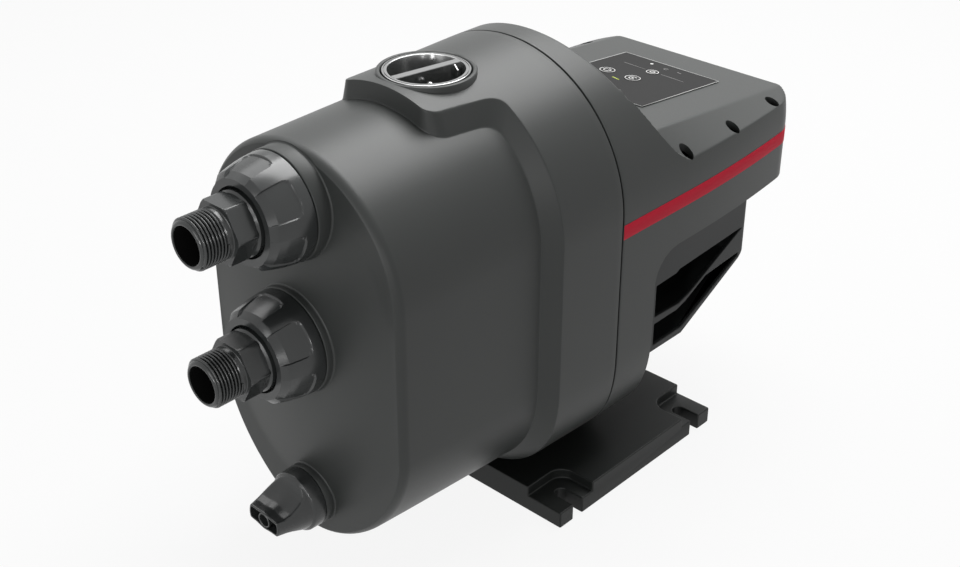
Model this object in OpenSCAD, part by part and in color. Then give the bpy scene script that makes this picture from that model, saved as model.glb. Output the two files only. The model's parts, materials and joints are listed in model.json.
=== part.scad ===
// Booster pump unit: front tank with two threaded ports, motor and controller
// under one rear cover, on a slotted base plate. Millimetres, Z up, ports face -Y.

/* [Body] */
// half width of the body at the seam
body_w = 103; // [101:0.5:105]
// height of the arch centre above the floor
arch_z = 213.5; // [211:0.5:216]
// half width of the front tank at its face
tank_w = 88; // [86:0.5:90]
// wall thickness of the two body shells
shell_t = 5; // [4.5:0.5:6]

/* [Lengths] */
// front face of the tank, ahead of the base centre
tank_front = 215; // [212:1:220]
// seam between tank and rear cover, ahead of the base centre
seam = 24; // [23:0.5:25]
// rear end of the rear cover, behind the base centre
cover_rear = 201; // [199:1:205]

/* [Ports] */
// outside radius of the male pipe thread
thread_r = 16.6; // [16.2:0.1:17]
// length of the male pipe thread
thread_l = 19.5; // [18:0.5:22]
// distance between the two ports
port_gap = 94; // [90:1:97]
// height of the upper port above the arch centre
port_rise = 51.5; // [50:0.5:53]

/* [Base] */
// half width of the base plate
plate_w = 110.3; // [108:0.1:114]
// length of the base plate
plate_l = 176; // [172:1:184]
// height of the raised middle of the plate
plate_h = 20.5; // [19.5:0.5:20.5]
// height of the four slotted feet
foot_h = 13; // [10:0.5:15]
// width of the open bolt slots
slot_w = 9.5; // [8:0.5:11]

/* [Motor] */
// height of the shaft above the floor
shaft_z = 146; // [144:0.5:147]
// shaft radius
shaft_r = 8; // [7:0.5:9]
// outside radius of the stator
stator_r = 50; // [47:0.5:50.5]
// air gap between rotor and stator
air_gap = 0.6; // [0.4:0.1:0.9]

/* [Plugs] */
// radius of the priming plug rim
prime_r = 28.5; // [27.5:0.1:29.2]
// radius of the drain plug flange
drain_r = 21.5; // [20:0.5:22.5]
// radial clearance of turning and sliding fits
fit = 0.05; // [0.03:0.01:0.08]

/* [Hidden] */

$fn = 64;
arc_n = 28;
low_n = 7;

y_face = -tank_front;
y_seam = -seam;
y_crest = y_seam - 59;
y_ramp = y_crest - 9;
y_tongue = y_crest - 56;
y_prime = y_crest - 18;
y_boss = y_face - 11.2;
y_spigot = y_boss - 12;
y_gasket = y_spigot - 2.5;
y_flange = y_gasket - 6;
y_mouth = y_flange - 8.8;
y_hex_rear = y_mouth - 2.5;
y_hex = y_hex_rear - 14.5;
y_neck = y_hex - 2;
y_end = y_neck - thread_l;

port_up = arch_z + port_rise;
port_lo = port_up - port_gap;
port_r = 15;
bore_r = 12.2;
spigot_r = 29;
boss_r = 36;
nut_r = 35.5;
mouth_r = 22.5;

zl = 112;
zb = plate_h + 0.5;
prime_top = arch_z + body_w - 1.2;
prime_seat = prime_top - 10;
stem_r = prime_r - 2.5;
drain_z = port_lo - 123.5;
y_drain = y_face - 7;

y_br = y_seam - 12;
y_rim = y_seam + 3.5;
motor_r = stator_r + 4;
rotor_r = stator_r * 0.535 - air_gap;
tray_z = shaft_z + motor_r + 2;
y_st0 = y_seam + 40;
y_st1 = y_st0 + 60;
y_shield = y_st1 + 16;
fan_w = body_w - 16;
y_fan0 = y_seam + 40;
y_fan1 = cover_rear - 47;
gland_y = y_fan1 + 25;
panel_z = arch_z - 41.5;
stripe_z = arch_z - 13.7;
edge_x = body_w - 25.7;
edge_z = arch_z + 18.3;
tilt = 0.0985;
top_a = arch_z + 35 + 69 * tilt;
corner_r = 26;
y_corner = cover_rear - corner_r;
ctl_y = y_seam + 68;
screw_y = [ctl(8), ctl(66), ctl(125)];
screw_x = [edge_x + 18.5, edge_x + 16.5, edge_x + 10.7];
// front of the tank, from the middle of its domed face round the edge: how far drawn in, how far back
front_edge = [[82, -5.9], [60, -4.6], [40, -2.6], [20, -0.7], [3.95, 0], [3.15, 0.28], [1.74, 1.69],
  [0.6, 3.67], [0, 6.74]];
film_y = ctl(72.3);
film_l = 95;
film_w = 88;
keys = [[-24, film_y - 1.3, 6.4], [0, film_y - 1.3, 6.4], [0, film_y + 23.2, 5.2]];

// right half of the rounded foot of a body section
function foot(w, l, b, n, d) = [for (i = [0:low_n - 1]) let (u = 90 * i / low_n)
  [(w - d) * pow(cos(u), 2 / n), l - (l - b - d) * pow(sin(u), 2 / n)]];

// closed body section: arch, upright sides, rounded foot, drawn in by d
function sec(w, l, b, n, d = 0) = let (s = foot(w, l, b, n, d)) concat(
  [for (i = [0:arc_n]) let (a = 180 * i / arc_n - 90) [(w - d) * sin(a), arch_z + (w - d) * cos(a)]],
  s,
  [[0, b + d]],
  [for (i = [low_n - 1:-1:0]) [-s[i][0], s[i][1]]]);

function ring(y, s) = [for (p = s) [p[0], y, p[1]]];

// places along the controller and along the fan cover, which stretch with the rear cover
function ctl(d) = ctl_y + d * (y_corner - ctl_y) / 131;
function fan_y(d) = y_fan0 + d * (y_fan1 - y_fan0) / 138;

// half width of the rear cover along its length
function bow(y) = y > 43 ? 8.5 * pow((y - 43) / 137, 2) : 0;
function turn(y) = y > y_corner ? corner_r - sqrt(corner_r * corner_r - pow(y - y_corner, 2)) : 0;
function cover_w(y) = body_w - bow(y) - turn(y);

// height of the cut that shapes the controller top
function top_z(y) = top_a - tilt * y;
function crown_z(x, y) = top_z(y) - 0.00002 * pow(min(abs(x), edge_x), 2);
function floor_z(x, y) = let (c = crown_z(x, y), span = body_w - bow(y) - 0.5 - edge_x)
  c - max(abs(x) - edge_x, 0) / span * (c - edge_z);
function rise(y) = lookup(y, [[-20, 118], [-6, 74], [-1, 57.5], [6, 40.3], [13, 21.5], [18, 10.3], [23, 4.2],
  [29, 1.6], [36, 0.3], [43, 0], [300, 0]]);
function lag(x) = abs(x) > edge_x ? 12 * (abs(x) - edge_x) / 25 : 0;
function cut_z(x, y) = floor_z(x, y) + rise(y - lag(x));

cover_y = [y_seam + 0.4, -12, -6, -2, 2, 6, 10, 14, 18, 23, 29, 36,
  ctl_y, ctl(8), ctl(31), ctl(61), ctl(86), ctl(111), y_corner,
  y_corner + 9, y_corner + 16, y_corner + 21, y_corner + 24.5, cover_rear];
inner_y = [for (i = [0:len(cover_y) - 1]) if (i % 2 == 0 || i > 17) cover_y[i]];

// right half of a rear cover section at y, drawn in by d, from near the top centre down to the foot
function arch_h(x, w) = arch_z + sqrt(max(w * w - x * x, 0));
function cut_d(x, y, d) = cut_z(x, y + (d > 0 ? 4.5 : 0)) - d;
function meet(y, w, d, a, b, k) = let (x = (a + b) / 2) k == 0 ? x
  : arch_h(x, w) > cut_d(x, y, d) ? meet(y, w, d, x, b, k - 1) : meet(y, w, d, a, x, k - 1);
function cover_half(y, w, d) = let (c = max(meet(y, w, d, 0, w, 16), 40), e = min(edge_x, 0.7 * c),
  a0 = asin(c / w)) concat(
  [for (t = [e / 2, e, for (i = [1:5]) e + (c - e) * i / 5]) [t, min(arch_h(t, w), cut_d(t, y, d))]],
  [for (i = [1:10]) let (a = a0 + (90 - a0) * i / 10) [w * sin(a), arch_z + w * cos(a)]],
  foot(w + d, zl, zb, 2.6, d));
function cover_ring(y, y1, w, d) = let (h = cover_half(y, w, d)) ring(y1, concat(
  [[0, min(arch_h(0, w), cut_d(0, y, d))]],
  h,
  [[0, zb + d]],
  [for (i = [len(h) - 1:-1:0]) [-h[i][0], h[i][1]]]));

// plan outline of the hollow inside the rear cover, from y0 to the rear wall
function inside_half(d) = [for (y = inner_y) if (y > ctl_y - 4)
  [cover_w(y) - d, y - d * max(y - y_corner, 0) / corner_r]];
function inside_plan(y0) = let (d = shell_t + 0.2, h = inside_half(d)) concat(
  [[body_w - d, y0]],
  h,
  [for (i = [len(h) - 1:-1:0]) [-h[i][0], h[i][1]]],
  [[d - body_w, y0]]);

// solid skinned over equal rings, front ring first
module loft(r) {
  n = len(r[0]);
  m = len(r);
  polyhedron(points = [for (q = r) each q], faces = concat(
    [[for (i = [0:n - 1]) i]],
    [[for (i = [n - 1:-1:0]) (m - 1) * n + i]],
    [for (j = [0:m - 2], i = [0:n - 1]) let (k = (i + 1) % n) [j * n + i, j * n + n + i, j * n + n + k]],
    [for (j = [0:m - 2], i = [0:n - 1]) let (k = (i + 1) % n) [j * n + i, j * n + n + k, j * n + k]]));
}

// flat shape in X and Z drawn along Y
module along_y(y0, y1) {
  translate([0, y1, 0]) rotate([90, 0, 0]) linear_extrude(y1 - y0) children();
}

// flat shape in Y and Z drawn along X
module along_x(x0, x1) {
  translate([x0, 0, 0]) rotate([90, 0, 90]) linear_extrude(x1 - x0) children();
}

module rod(r, y0, y1, z, x = 0) {
  translate([x, y0, z]) rotate([-90, 0, 0]) cylinder(r = r, h = y1 - y0);
}

module tube(r, q, y0, y1, z, x = 0) {
  difference() {
    rod(r, y0, y1, z, x);
    rod(q, y0 - 1, y1 + 1, z, x);
  }
}

module base_plate() {
  nx = 30;
  ny = 35;
  cr = 12;
  color("#202221") difference() {
    union() {
      translate([-plate_w, -plate_l / 2, 0]) cube([2 * plate_w, plate_l, foot_h]);
      translate([-plate_w, ny - plate_l / 2, 0]) cube([2 * plate_w, plate_l - 2 * ny, plate_h]);
      translate([nx - plate_w, -plate_l / 2, 0]) cube([2 * (plate_w - nx), plate_l, plate_h]);
      for (sx = [-1, 1], sy = [-1, 1]) translate([sx * (plate_w - nx), sy * (plate_l / 2 - ny), 0])
        difference() {
          translate([sx > 0 ? 0 : -cr, sy > 0 ? 0 : -cr, 0]) cube([cr, cr, plate_h]);
          translate([sx * cr, sy * cr, -1]) cylinder(r = cr, h = plate_h + 2);
        }
    }
    for (sx = [-1, 1], sy = [-1, 1]) translate([sx * (plate_w - 15), sy * (plate_l / 2 - 19), -1]) {
      cylinder(d = slot_w, h = foot_h + 2);
      translate([sx > 0 ? 0 : -20, -slot_w / 2, 0]) cube([20, slot_w, foot_h + 2]);
    }
    for (sx = [-1, 1], y = [y_seam - 34, y_seam + 55]) translate([sx * 22, y, -1]) {
      cylinder(r = 3.3, h = plate_h + 2);
      cylinder(r = 5.5, h = 7);
    }
  }
}

module base_screws() {
  color("#8d9194") for (sx = [-1, 1], y = [y_seam - 34, y_seam + 55]) translate([sx * 22, y, 0]) {
    translate([0, 0, 2]) cylinder(r = 5, h = 4);
    translate([0, 0, 6]) cylinder(r = 3, h = plate_h - 0.5);
  }
}

module cavity() {
  along_y(y_face + shell_t, y_crest + 10) polygon(sec(tank_w, 110, 17, 1.75, shell_t));
  along_y(y_crest + shell_t, y_seam + 1) polygon(sec(body_w, zl, zb, 2.6, shell_t));
}

module tongue_plan() {
  translate([-45, y_tongue + 11]) square([90, 60]);
  translate([-34, y_tongue]) square([68, 20]);
  for (sx = [-1, 1]) translate([sx * 34, y_tongue + 11]) circle(r = 11);
}

module pump_housing() {
  color("#464847") difference() {
    union() {
      loft(concat(
        [for (e = front_edge) ring(y_face + e[1], sec(tank_w, 110, 15, 1.7, e[0]))],
        [ring(y_ramp, sec(tank_w + 2.5, 110, zb, 2.1)), ring(y_crest, sec(body_w - 1.2, zl, zb, 2.5)),
          ring(y_seam - 0.4, sec(body_w, zl, zb, 2.6))]));
      intersection() {
        along_y(y_tongue - 5, y_crest + 4) polygon(sec(body_w - 1.6, zl, zb, 2.5));
        translate([0, 0, arch_z + 55]) linear_extrude(80) tongue_plan();
      }
      translate([0, y_prime, prime_top - 30]) cylinder(r = prime_r + 3.6, h = 29.4);
      for (z = [port_up, port_lo]) {
        rod(boss_r, y_boss, y_face + 1, z);
        rod(spigot_r, y_spigot, y_face + 1, z);
      }
      rod(drain_r, y_drain, y_face + 1, drain_z);
      translate([-40, y_seam - 54, plate_h]) cube([80, 44, 12]);
    }
    difference() {
      cavity();
      translate([0, y_prime, prime_top - 30]) cylinder(r = prime_r + 3.6, h = 40);
      for (sx = [-1, 1]) translate([sx * 22, y_seam - 34, plate_h]) cylinder(r = 7, h = 14);
    }
    for (z = [port_up, port_lo]) rod(port_r, y_spigot - 1, y_face + 20, z);
    rod(10 + fit, y_drain - 1, y_face + 20, drain_z);
    translate([0, y_prime, prime_top - 40]) cylinder(r = stem_r + fit, h = 60);
    translate([0, y_prime, prime_seat - 3]) cylinder(r = prime_r + 0.9, h = 30);
    for (sx = [-1, 1]) translate([sx * 22, y_seam - 34, plate_h - 1]) cylinder(r = 3, h = 11);
  }
}

module bracket() {
  color("#9a9d9f") difference() {
    union() {
      along_y(y_br, y_seam) polygon(sec(body_w, zl, zb, 2.6, shell_t));
      along_y(y_seam, y_rim) difference() {
        polygon(sec(body_w, zl, zb, 2.6, shell_t + 0.6));
        polygon(sec(body_w, zl, zb, 2.6, shell_t + 5));
      }
      rod(27, y_seam - 1, y_seam + 22, shaft_z);
    }
    rod(shaft_r + 3, y_br - 1, y_seam + 30, shaft_z);
    rod(20, y_seam + 9, y_seam + 30, shaft_z);
    rod(16, y_br - 1, y_br + 6, shaft_z);
    rod(5, y_br - 1, y_seam + 1, arch_z + 30, 45);
  }
}

module bracket_seal() {
  color("#151515") along_y(y_br - 3, y_br) difference() {
    polygon(sec(body_w, zl, zb, 2.6, shell_t));
    polygon(sec(body_w, zl, zb, 2.6, shell_t + 4));
  }
}

module cover_skin(d, ys) {
  loft([for (y = ys) let (back = y > y_corner ? (y - y_corner) / corner_r : y < y_seam + 1 ? 0.1 : 0)
    cover_ring(y, y - d * back, cover_w(y) - d, d)]);
}

module screw_holes(r, z0, h) {
  for (sx = [-1, 1], i = [0:2]) translate([sx * screw_x[i], screw_y[i], z0]) cylinder(r = r, h = h);
}

module rear_cover() {
  color("#464847") difference() {
    cover_skin(0, cover_y);
    along_x(-130, 130) polygon([[y_fan0, -10], [y_fan0, panel_z - 22], [y_fan0 + 1.5, panel_z - 16],
      [y_fan0 + 5, panel_z - 10], [y_fan0 + 10, panel_z - 5], [y_fan0 + 17, panel_z - 1.4],
      [y_fan0 + 26, panel_z], [cover_rear + 20, panel_z], [cover_rear + 20, -10]]);
    difference() {
      cover_skin(shell_t, inner_y);
      screw_holes(7, tray_z + 4, 100);
    }
    screw_holes(4.6, arch_z - 1, 100);
    screw_holes(2.3, tray_z, 100);
    for (k = keys) on_top(k[0], k[1]) translate([0, 0, -2.4]) cylinder(r = k[2] + 0.1, h = 4);
  }
}

module cover_screws() {
  color("#8d9194") {
    screw_holes(4.2, arch_z - 1, 4);
    screw_holes(2.1, tray_z, arch_z - tray_z - 0.8);
  }
}

// puts a child on the controller top, upright to its surface
module on_top(x, y) {
  translate([x, y, top_z(y)]) rotate([-atan(tilt), 0, 0]) children();
}

module tray() {
  color("#2a2c2c") difference() {
    translate([0, 0, tray_z]) linear_extrude(4) polygon(inside_plan(ctl_y - 4));
    screw_holes(2.1, tray_z - 1, 10);
  }
}

module control_film() {
  color("#4a4a4a") difference() {
    on_top(0, film_y) translate([-film_w / 2 + 2, -film_l / 2 + 2, 0]) linear_extrude(0.6) union() {
      translate([0, -2]) square([film_w - 4, film_l]);
      translate([-2, 0]) square([film_w, film_l - 4]);
      for (x = [0, film_w - 4], y = [0, film_l - 4]) translate([x, y]) circle(r = 2, $fn = 24);
    }
    for (k = keys) on_top(k[0], k[1]) translate([0, 0, -2]) cylinder(r = k[2] + fit, h = 4);
  }
}

module key(k) {
  color("#565656") on_top(k[0], k[1]) translate([0, 0, -1.2]) cylinder(r = k[2], h = 2);
}

module button_power() { key(keys[0]); }

module button_mode() { key(keys[1]); }

module button_set() { key(keys[2]); }

module circuit_board() {
  color("#2f5a3c") {
    translate([-62, ctl(22), tray_z + 12]) cube([124, ctl(130) - ctl(22), 1.6]);
    for (x = [-54, 54], y = [ctl(30), ctl(122)]) translate([x, y, tray_z + 4]) cylinder(r = 3.5, h = 8);
  }
}

module capacitors() {
  color("#26282b") for (x = [-36, -12]) translate([x, ctl(48), tray_z + 13.6]) cylinder(r = 10.5, h = 20);
}

module heat_sink() {
  color("#a8abad") translate([12, ctl(40), tray_z + 13.6]) {
    cube([44, ctl(110) - ctl(40), 4]);
    for (i = [0:6]) translate([i * 7, 0, 3]) cube([2, ctl(110) - ctl(40), 11]);
  }
}

module stripe(s) {
  ys = [for (y = cover_y) if (y < y_corner + 17) y];
  color("#b8323f") translate([0, 0, stripe_z]) linear_extrude(10.6) polygon(concat(
    [for (y = ys) [s * cover_w(y), y]],
    [for (i = [len(ys) - 1:-1:0]) [s * (cover_w(ys[i]) + 0.4), ys[i]]]));
}

module stripe_left() { stripe(-1); }

module stripe_right() { stripe(1); }

module motor_frame() {
  color("#3a3c3d") difference() {
    union() {
      rod(motor_r + 8, y_seam, y_seam + 8, shaft_z);
      rod(motor_r, y_seam, y_shield, shaft_z);
      translate([-30, y_fan0 + 1, plate_h]) cube([60, 28, shaft_z - plate_h - stator_r + 6]);
      for (i = [0, 180], k = [-30:15:30]) translate([0, y_fan0 + 2, shaft_z]) rotate([0, i + k, 0])
        translate([motor_r - 2, 0, -1.5]) cube([12, 68, 3]);
    }
    rod(stator_r, y_seam - 1, y_shield + 1, shaft_z);
    for (sx = [-1, 1]) translate([sx * 22, y_seam + 55, plate_h - 1]) cylinder(r = 3, h = 12);
  }
}

module stator_core() {
  color("#707478") tube(stator_r, rotor_r + air_gap, y_st0, y_st1, shaft_z);
}

module winding(y0) {
  color("#a8642c") translate([0, y0, shaft_z]) rotate([-90, 0, 0]) rotate_extrude()
    translate([stator_r * 0.62, 0]) {
      translate([0, 4]) square([stator_r * 0.31, 6]);
      translate([4, 0]) square([stator_r * 0.31 - 8, 14]);
      for (x = [4, stator_r * 0.31 - 4], y = [4, 10]) translate([x, y]) circle(r = 4, $fn = 24);
    }
}

module winding_front() { winding(y_st0 - 14); }

module winding_rear() { winding(y_st1); }

module end_shield() {
  color("#9a9d9f") difference() {
    union() {
      rod(motor_r, y_shield, y_shield + 8, shaft_z);
      rod(23, y_shield - 9, y_shield + 2, shaft_z);
    }
    rod(18, y_shield - 10, y_shield + 1, shaft_z);
    rod(shaft_r + 2, y_shield - 1, y_shield + 9, shaft_z);
  }
}

module front_bearing() {
  color("#b4b7b9") tube(20, shaft_r + fit, y_seam + 9, y_seam + 21, shaft_z);
}

module rear_bearing() {
  color("#b4b7b9") tube(18, shaft_r + fit, y_shield - 9, y_shield + 1, shaft_z);
}

module shaft() {
  color("#c0c3c5") rod(shaft_r, y_br - 118, y_shield + 32, shaft_z);
}

module rotor_core() {
  color("#5c6064") tube(rotor_r, shaft_r, y_st0 - 2, y_st1 + 2, shaft_z);
}

module fan() {
  y0 = y_shield + 12;
  color("#1d1f1f") difference() {
    union() {
      rod(15, y0, y0 + 18, shaft_z);
      rod(38, y0, y0 + 2.5, shaft_z);
      for (i = [0:6]) translate([0, y0 + 1, shaft_z]) rotate([0, i * 360 / 7, 0])
        translate([10, 0, -1.25]) cube([27, 15, 2.5]);
    }
    rod(shaft_r, y0 - 1, y0 + 20, shaft_z);
  }
}

module fan_side(d) {
  polygon([[y_fan0 - 4, panel_z - 96 + d], [fan_y(60), panel_z - 96 + d], [fan_y(116), panel_z - 67 + d],
    [fan_y(130), panel_z - 60 + d], [fan_y(136) - d, panel_z - 54 + d], [y_fan1 - d, panel_z - 44 + d],
    [y_fan1 - d, panel_z + (d > 0 ? 10 : 0)], [y_fan0 - 4, panel_z + (d > 0 ? 10 : 0)]]);
}

module fan_plan(d) {
  translate([-fan_w + d, y_fan0 - 10]) square([2 * (fan_w - d), y_fan1 - y_fan0 + 4]);
  translate([-fan_w + 6, y_fan0 - 10]) square([2 * fan_w - 12, y_fan1 - y_fan0 + 10 - d]);
  for (sx = [-1, 1]) translate([sx * (fan_w - 6), y_fan1 - 6]) circle(r = 6 - d);
}

module fan_cover() {
  color("#2c2e2e") difference() {
    union() {
      intersection() {
        along_x(-fan_w, fan_w) fan_side(0);
        translate([0, 0, 20]) linear_extrude(200) fan_plan(0);
      }
      translate([0, 0, panel_z - 0.5]) linear_extrude(3.5) polygon(inside_plan(y_fan0 + 1));
    }
    translate([-31, y_fan0 - 1, panel_z - 100]) cube([62, 32, 10]);
    translate([-55, gland_y, panel_z - 5]) cylinder(r = 8, h = 20);
    intersection() {
      along_x(-fan_w, fan_w) fan_side(3);
      translate([0, 0, 20]) linear_extrude(200) fan_plan(3);
    }
    translate([-fan_w - 1, y_fan0 - 30, 20]) cube([2 * fan_w + 2, 30, 200]);
    along_x(-fan_w - 1, fan_w + 1) {
      polygon([[fan_y(25), panel_z - 41], [fan_y(48.7), panel_z - 40], [fan_y(52.4), panel_z - 38],
        [fan_y(130), panel_z - 33.8], [fan_y(130), panel_z - 34.6], [fan_y(66), panel_z - 64.5],
        [fan_y(54.4), panel_z - 67.8], [fan_y(25), panel_z - 66.7]]);
      polygon([[fan_y(25), panel_z - 73], [fan_y(52.3), panel_z - 72.5], [fan_y(62.6), panel_z - 69.5],
        [fan_y(87), panel_z - 57.7], [fan_y(128.4), panel_z - 54.8], [fan_y(128.4), panel_z - 57.3],
        [fan_y(60), panel_z - 90.5], [fan_y(25), panel_z - 91]]);
    }
    for (x = [-48:12:48]) translate([x - 3, y_fan1 - 10, panel_z - 34]) cube([6, 20, 26]);
  }
}

module cable_gland() {
  color("#1b1c1c") translate([-55, gland_y, 0]) difference() {
    union() {
      translate([0, 0, panel_z - 8]) cylinder(r = 12, h = 7.5, $fn = 6);
      translate([0, 0, panel_z - 20]) cylinder(r = 9, h = 13);
      translate([0, 0, panel_z - 1]) cylinder(r = 8, h = 9);
    }
    translate([0, 0, panel_z - 30]) cylinder(r = 4.5, h = 50);
  }
}

module gland_nut() {
  color("#1b1c1c") translate([-55, gland_y, panel_z - 24]) difference() {
    cylinder(r = 11.5, h = 16, $fn = 6);
    translate([0, 0, 4]) cylinder(r = 9, h = 13);
    translate([0, 0, -1]) cylinder(r = 4.5, h = 20);
  }
}

module seal_seat() {
  color("#d8d6cf") tube(16, shaft_r + 1.5, y_br - 3, y_br + 6, shaft_z);
}

module seal_ring() {
  color("#3f4142") {
    tube(14.5, shaft_r, y_br - 14, y_br - 3.4, shaft_z);
    tube(17, shaft_r, y_br - 16, y_br - 13, shaft_z);
  }
}

module impeller(y0) {
  color("#caa75a") difference() {
    union() {
      rod(42, y0 + 14, y0 + 17, shaft_z);
      rod(14, y0 + 2, y0 + 17, shaft_z);
      tube(42, 20, y0 + 3, y0 + 5.5, shaft_z);
      tube(23, 20, y0, y0 + 5, shaft_z);
      for (i = [0:5]) translate([0, y0 + 5, shaft_z]) rotate([0, i * 60, 0])
        translate([12, 0, -11]) rotate([0, 24, 0]) cube([25, 9.5, 2]);
    }
    rod(shaft_r, y0 - 1, y0 + 20, shaft_z);
  }
}

module impeller_1() { impeller(y_br - 102); }

module impeller_2() { impeller(y_br - 64); }

module shaft_nut() {
  color("#c0c3c5") translate([0, y_br - 108, shaft_z]) rotate([-90, 0, 0]) difference() {
    cylinder(r = 13, h = 8, $fn = 6);
    translate([0, 0, -1]) cylinder(r = shaft_r, h = 10);
  }
}

module diffuser(y0) {
  color("#d9d5c4") difference() {
    union() {
      tube(48.9, 24, y0, y0 + 3, shaft_z);
      for (i = [0:7]) translate([0, y0 + 1, shaft_z]) rotate([0, i * 45, 0])
        translate([26, 0, -1]) cube([22, 13, 2]);
    }
    rod(24, y0 - 1, y0 + 20, shaft_z);
  }
}

module diffuser_1() { diffuser(y_br - 82); }

module diffuser_2() { diffuser(y_br - 44); }

module pump_sleeve() {
  color("#b9bcbe") difference() {
    tube(52, 49, y_br - 112, y_br, shaft_z);
    for (i = [0:60:300]) translate([0, y_br - 20, shaft_z]) rotate([0, i, 0])
      translate([40, 0, -8]) cube([20, 12, 16]);
  }
}

module suction_cover() {
  color("#b9bcbe") {
    tube(52, 24, y_br - 115, y_br - 112, shaft_z);
    tube(49, 45, y_br - 113, y_br - 106, shaft_z);
  }
}

module valve_cage() {
  y0 = y_face + shell_t;
  color("#d9d5c4") difference() {
    union() {
      tube(24, 21, y0, y0 + 44, port_lo);
      rod(24, y0 + 41, y0 + 44, port_lo);
      rod(7, y0 + 32, y0 + 44, port_lo);
    }
    rod(3.5 + fit, y0 + 30, y0 + 50, port_lo);
    for (i = [0:90:270]) translate([0, y0 + 14, port_lo]) rotate([0, i + 45, 0])
      translate([15, 0, -9]) cube([20, 22, 18]);
  }
}

module valve_poppet() {
  y0 = y_face + shell_t;
  color("#3a3c3d") {
    rod(18.5, y0 + 0.4, y0 + 4.4, port_lo);
    rod(3.5, y0 + 4, y0 + 40, port_lo);
  }
}

// coil spring as a swept ring of flat facets
module coil(r, w, y0, h, turns, z) {
  k = 12;
  q = 6;
  n = turns * k;
  polyhedron(points = [for (i = [0:n], j = [0:q - 1])
    let (a = 360 * i / k, b = 360 * j / q, c = r + w * cos(b))
    [c * cos(a), y0 + w + (h - 2 * w) * i / n + w * sin(b), z + c * sin(a)]],
    faces = concat(
      [[for (j = [q - 1:-1:0]) j]],
      [[for (j = [0:q - 1]) n * q + j]],
      [for (i = [0:n - 1], j = [0:q - 1]) let (t = (j + 1) % q) [i * q + j, i * q + t, i * q + q + t]],
      [for (i = [0:n - 1], j = [0:q - 1]) let (t = (j + 1) % q) [i * q + j, i * q + q + t, i * q + q + j]]));
}

module valve_spring() {
  y0 = y_face + shell_t + 4.4;
  color("#b4b7b9") coil(11, 0.8, y0, 36.6, 5, port_lo);
}

module pressure_sensor() {
  color("#c0a050") {
    rod(5, y_br - 6, y_seam, arch_z + 30, 45);
    rod(9, y_seam, y_seam + 12, arch_z + 30, 45);
  }
}

module connector(z) {
  color("#3b3d3d") difference() {
    union() {
      rod(27, y_flange, y_gasket, z);
      rod(mouth_r - 1.5, y_hex_rear, y_flange, z);
      translate([0, y_hex, z]) rotate([-90, 0, 0])
        cylinder(r = thread_r + 4.7, h = y_hex_rear - y_hex, $fn = 6);
      rod(thread_r - 1.2, y_neck, y_hex, z);
      rod(thread_r, y_end + 1.2, y_neck, z);
      translate([0, y_end, z]) rotate([-90, 0, 0]) cylinder(r1 = thread_r - 1.2, r2 = thread_r, h = 1.2);
    }
    rod(bore_r, y_end - 1, y_gasket + 1, z);
  }
}

module upper_connector() { connector(port_up); }

module lower_connector() { connector(port_lo); }

module upper_gasket() { color("#141414") tube(26, 16, y_gasket, y_spigot - 0.3, port_up); }

module lower_gasket() { color("#141414") tube(26, 16, y_gasket, y_spigot - 0.3, port_lo); }

module union_nut(z) {
  l = y_boss - 0.5 - y_mouth;
  color("#3b3d3d") translate([0, y_mouth, z]) rotate([-90, 0, 0]) rotate([0, 0, -4]) difference() {
    union() {
      rotate_extrude() polygon([[mouth_r, 0], [nut_r - 8.1, 0], [nut_r - 5.7, 3], [nut_r - 3.9, 8],
        [nut_r - 2.4, 14], [nut_r - 1.2, 20], [nut_r - 0.3, 25], [nut_r, l - 2.5], [nut_r, l],
        [spigot_r + fit, l], [spigot_r + fit, 8.5], [mouth_r, 8.5]]);
      for (i = [0:5]) rotate([0, 0, i * 60]) intersection() {
        rotate_extrude() polygon([[mouth_r + 2, 0], [nut_r - 8.1, 0], [nut_r - 4.2, 3.4], [nut_r - 2.7, 8],
          [nut_r - 1.3, 14.5], [nut_r - 0.4, 20.5], [nut_r - 0.1, 25], [mouth_r + 7, 25], [mouth_r + 2, 5]]);
        translate([0, -7.3, -1]) cube([60, 14.6, 30]);
      }
    }
    translate([0, 0, 8.5]) cylinder(r = spigot_r + fit, h = 60);
  }
}

module upper_nut() { union_nut(port_up); }

module lower_nut() { union_nut(port_lo); }

module priming_plug() {
  color("#464847") translate([0, y_prime, 0]) rotate([0, 0, -11]) difference() {
    union() {
      translate([0, 0, prime_seat]) cylinder(r = prime_r, h = prime_top - prime_seat);
      translate([0, 0, prime_seat - 18]) cylinder(r = stem_r, h = 19);
    }
    difference() {
      translate([0, 0, prime_seat - 14]) cylinder(r = prime_r - 3.6, h = 60);
      translate([-2.8, -40, prime_seat - 20]) cube([5.6, 80, 19.4 + prime_top - prime_seat]);
    }
  }
}

module priming_ring() {
  color("#141414") translate([0, y_prime, prime_seat - 2.7]) difference() {
    cylinder(r = prime_r, h = 2.4);
    translate([0, 0, -1]) cylinder(r = stem_r + fit, h = 5);
  }
}

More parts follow.
